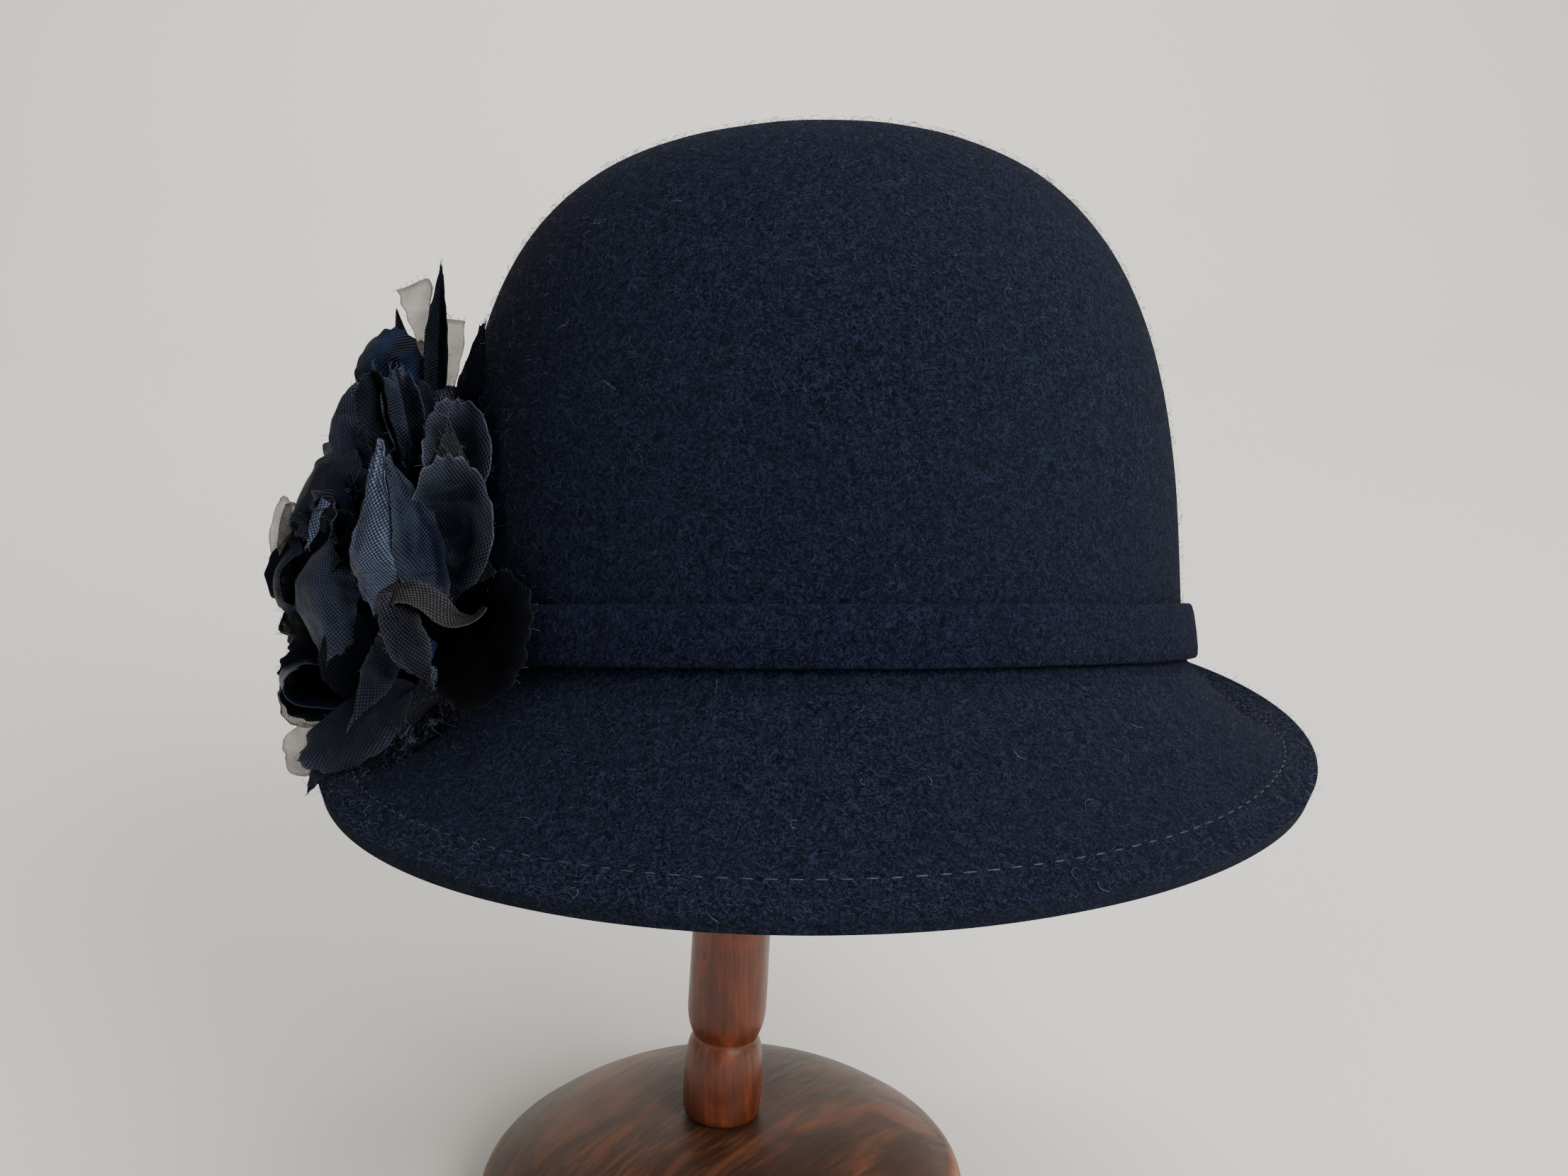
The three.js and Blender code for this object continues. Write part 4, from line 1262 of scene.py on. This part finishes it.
def make_base(looks):
    """The domed disc with a half-round edge, a little worn, so not perfectly true."""
    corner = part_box("stand_base")[1]
    radius, top = corner.x, corner.z
    centre = radius - BASE_EDGE
    profile = [(0, 0), (centre * 0.5, 0)]
    for step in range(17):
        turn = math.radians(-90 + (90 + BASE_EDGE_END) * step / 16)
        out, up = BASE_EDGE * math.cos(turn), BASE_EDGE * math.sin(turn)
        profile.append((centre + out, BASE_EDGE + up))
    meet_radius, meet_height = profile[-1]
    for step in range(1, 25):
        here = meet_radius * (1 - step / 24)
        rise = (top + 0.15 * MM - meet_height) * (1 - (here / meet_radius) ** BASE_DOME_POWER)
        profile.append((here, min(meet_height + rise, top)))

    def place(around, out, height):
        side = Vector((math.cos(around), math.sin(around), out * 30))
        rub = 0.12 * MM * noise.noise(side * 3)
        return Vector((side.x * (out + rub), side.y * (out + rub), height))

    work = spun(profile, 128, place)
    rim = work.verts.layers.float.new("rim")
    for vert in work.verts:
        inside = abs(math.hypot(vert.co.x, vert.co.y) - (radius - 1.5 * MM))
        vert[rim] = max(0.0, 1 - inside / (3 * MM)) * (vert.co.z > BASE_EDGE * 0.8)
    stain = base_finish("stained_base", looks.base_light, looks.base_dark)
    piece = finished("stand_base_turned", work, stain, ["stand_base"])
    with_levels(piece, 1)
    return piece


def make_post(looks):
    """The turned post with its waist, tapering to the top."""
    low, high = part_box("stand_post")
    reach = (high.z - low.z) / math.cos(LEAN) - POST_CLEARANCE
    profile = [(radius * MM, height * MM) for radius, height in POST_PROFILE]
    radius, start = profile[-1]
    for step in range(1, 9):
        narrower, higher = (POST_TOP_RADIUS - radius) * step / 8, (reach - start) * step / 8
        profile.append((radius + narrower, start + higher))
    profile.append((0, reach))
    stain = post_finish("stained_post", looks.post_light, looks.post_dark)
    work = spun(profile, 64, leaning_place())
    piece = finished("stand_post_turned", work, stain, ["stand_post"])
    with_levels(piece, 1)
    return piece


def make_top(looks):
    """The plain dome that carries the crown."""
    profile = [
        (0, TOP_BOTTOM), (TOP_RADIUS * 0.6, TOP_BOTTOM), (TOP_RADIUS - TOP_EDGE, TOP_BOTTOM),
        (TOP_RADIUS - 1.2 * MM, TOP_BOTTOM + 2.4 * MM),
    ]
    for step in range(17):
        turn = math.pi / 2 * step / 16
        out = TOP_RADIUS * math.cos(turn) ** 0.9 if step < 16 else 0.0
        profile.append((out, TOP_BOTTOM + TOP_EDGE + (TOP_HEIGHT - TOP_EDGE) * math.sin(turn)))
    stain = post_finish("stained_top", looks.base_light, looks.base_dark)
    work = spun(profile, 96, leaning_place())
    return finished("stand_top_turned", work, stain, ["stand_top"])


# ------------------------------------------------------------------ stage
FLOOR_WIDE = 6
FLOOR_LONG = 4
FLOOR_FLAT = 1.2


def make_stage():
    """A pale floor that bends up behind the hat: flat, then a quarter turn, then upright."""
    finish = Finish("pale_floor")
    finish.surface(base_color=(0.82, 0.785, 0.735, 1), roughness=0.9)
    work = bmesh.new()
    bmesh.ops.create_grid(work, x_segments=2, y_segments=24, size=1.0)
    for vert in work.verts:
        depth = vert.co.y * FLOOR_LONG
        past = max(0.0, depth - FLOOR_FLAT)
        turn = min(past, math.pi / 2)
        back = min(depth, FLOOR_FLAT + math.sin(turn) * FLOOR_FLAT)
        up = (1 - math.cos(turn)) * FLOOR_FLAT + (past - turn) * 2
        vert.co = Vector((vert.co.x * FLOOR_WIDE, back, up))
    mesh = bpy.data.meshes.new("stage_floor")
    work.to_mesh(mesh)
    work.free()
    for face in mesh.polygons:
        face.use_smooth = True
    floor = bpy.data.objects.new("stage_floor", mesh)
    bpy.context.scene.collection.objects.link(floor)
    mesh.materials.append(finish.material)


def add_light(name, place, aim, size, power, tone):
    light = bpy.data.lights.new(name, "AREA")
    light.shape = "RECTANGLE"
    light.size, light.size_y = size
    light.energy = power
    light.color = tone
    lamp = bpy.data.objects.new(name, light)
    lamp.location = place
    lamp.rotation_euler = (Vector(aim) - Vector(place)).to_track_quat("-Z", "Y").to_euler()
    bpy.context.scene.collection.objects.link(lamp)


def make_lights():
    aim = (0.02, 0, 0.2)
    add_light("window", (0.85, -1.12, 1.0), aim, (0.8, 0.8), 36, (1.0, 0.985, 0.96))
    add_light("fill", (-1.2, -0.6, 0.7), aim, (0.8, 0.8), 3, (0.93, 0.96, 1.0))
    add_light("sky", (0.6, 0.1, 1.5), aim, (1.1, 1.1), 14, (1.0, 1.0, 1.0))
    add_light("backdrop", (0.0, 0.9, 1.7), (0, 2.4, 0.3), (2.4, 0.6), 40, (1.0, 0.99, 0.97))
    world = bpy.data.worlds.new("soft_room")
    world.use_nodes = True
    background = world.node_tree.nodes["Background"]
    background.inputs["Color"].default_value = (0.86, 0.85, 0.83, 1)
    background.inputs["Strength"].default_value = 0.12
    bpy.context.scene.world = world


CAMERA_LENS = 43.94
CAMERA_DOWN = math.radians(16)
CAMERA_PLACE = (16.6 * MM, -446.6 * MM, 300.5 * MM)


def make_camera():
    """The camera, level from side to side and looking a little down."""
    camera = bpy.data.cameras.new("camera")
    camera.sensor_width = 36
    camera.sensor_fit = "HORIZONTAL"
    camera.lens = CAMERA_LENS
    holder = bpy.data.objects.new("camera", camera)
    holder.location = CAMERA_PLACE
    holder.rotation_euler = Euler((math.pi / 2 - CAMERA_DOWN, 0, 0))
    bpy.context.scene.collection.objects.link(holder)
    bpy.context.scene.camera = holder


# ------------------------------------------------------------------ operators
def settings():
    """The sizes and the colours that the user has set."""
    scene = bpy.context.scene
    return scene.cloche_sizes, scene.cloche_colours


class CLOCHE_OT_felt_body(bpy.types.Operator):
    """Build the felt crown and brim"""

    bl_options = {"REGISTER", "UNDO"}
    bl_idname = "cloche.felt_body"
    bl_label = "Felt body"

    def execute(self, context):
        make_felt_body(*settings())
        return {"FINISHED"}


class CLOCHE_OT_band(bpy.types.Operator):
    """Build the felt band"""

    bl_options = {"REGISTER", "UNDO"}
    bl_idname = "cloche.band"
    bl_label = "Felt band"

    def execute(self, context):
        make_band(*settings())
        return {"FINISHED"}


class CLOCHE_OT_stitches(bpy.types.Operator):
    """Sew the row of stitches round the brim"""

    bl_options = {"REGISTER", "UNDO"}
    bl_idname = "cloche.stitches"
    bl_label = "Stitches"

    def execute(self, context):
        make_stitches(*settings())
        return {"FINISHED"}


class CLOCHE_OT_fibres(bpy.types.Operator):
    """Scatter loose fibres and lint on the felt"""

    bl_options = {"REGISTER", "UNDO"}
    bl_idname = "cloche.fibres"
    bl_label = "Fibres and lint"

    def execute(self, context):
        hat, looks = settings()
        nap = ((0.8, 2.2), 0.85 * MM, dimmed(looks.felt, 2.4))
        lint = ((1.5, 5.0), 0.4 * MM, (0.12, 0.125, 0.14))
        make_fibres(hat, "felt_nap_crown", hat.fibres, 11, *nap, (0.03, 1.15))
        make_fibres(hat, "felt_nap_brim", hat.fibres, 12, *nap, (1.3, 2.99))
        make_fibres(hat, "felt_lint", hat.lint, 23, *lint, (0.03, 2.97), steps=6, curl=4.0)
        return {"FINISHED"}


class CLOCHE_OT_flower(bpy.types.Operator):
    """Build the cloth flower"""

    bl_options = {"REGISTER", "UNDO"}
    bl_idname = "cloche.flower"
    bl_label = "Flower"

    def execute(self, context):
        hat = settings()[0]
        cloths = make_cloths()
        make_petals(hat, cloths)
        make_ribbons(hat, cloths)
        make_flower_heart(hat, cloths)
        make_fray(hat)
        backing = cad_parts["flower_backing"]
        backing.data.materials.clear()
        backing.data.materials.append(cloths["velvet"])
        return {"FINISHED"}


class CLOCHE_OT_stand(bpy.types.Operator):
    """Turn the wooden stand"""

    bl_options = {"REGISTER", "UNDO"}
    bl_idname = "cloche.stand"
    bl_label = "Stand"

    def execute(self, context):
        looks = settings()[1]
        make_base(looks)
        make_post(looks)
        make_top(looks)
        return {"FINISHED"}


class CLOCHE_OT_stage(bpy.types.Operator):
    """Set the floor, the lights and the camera"""

    bl_options = {"REGISTER", "UNDO"}
    bl_idname = "cloche.stage"
    bl_label = "Stage"

    def execute(self, context):
        make_camera()
        make_stage()
        make_lights()
        return {"FINISHED"}


class CLOCHE_PT_panel(bpy.types.Panel):
    """Lists the hat's builders"""

    bl_idname = "CLOCHE_PT_panel"
    bl_label = "Cloche hat"
    bl_space_type = "VIEW_3D"
    bl_region_type = "UI"
    bl_category = "Hat"

    def draw(self, context):
        for operator in OPERATORS:
            self.layout.operator(operator.bl_idname)


OPERATORS = (
    CLOCHE_OT_stage,
    CLOCHE_OT_felt_body,
    CLOCHE_OT_band,
    CLOCHE_OT_stitches,
    CLOCHE_OT_fibres,
    CLOCHE_OT_flower,
    CLOCHE_OT_stand,
)
CLASSES = (HatSizes, Colours, *OPERATORS, CLOCHE_PT_panel)


def register():
    for item in CLASSES:
        bpy.utils.register_class(item)
    bpy.types.Scene.cloche_sizes = PointerProperty(type=HatSizes)
    bpy.types.Scene.cloche_colours = PointerProperty(type=Colours)


def unregister():
    del bpy.types.Scene.cloche_colours
    del bpy.types.Scene.cloche_sizes
    for item in reversed(CLASSES):
        bpy.utils.unregister_class(item)


def main():
    register()
    bpy.ops.cloche.stage()
    bpy.ops.cloche.felt_body()
    bpy.ops.cloche.band()
    bpy.ops.cloche.stitches()
    bpy.ops.cloche.fibres()
    bpy.ops.cloche.flower()
    bpy.ops.cloche.stand()
    bpy.context.view_layer.update()


if __name__ == "__main__":
    main()
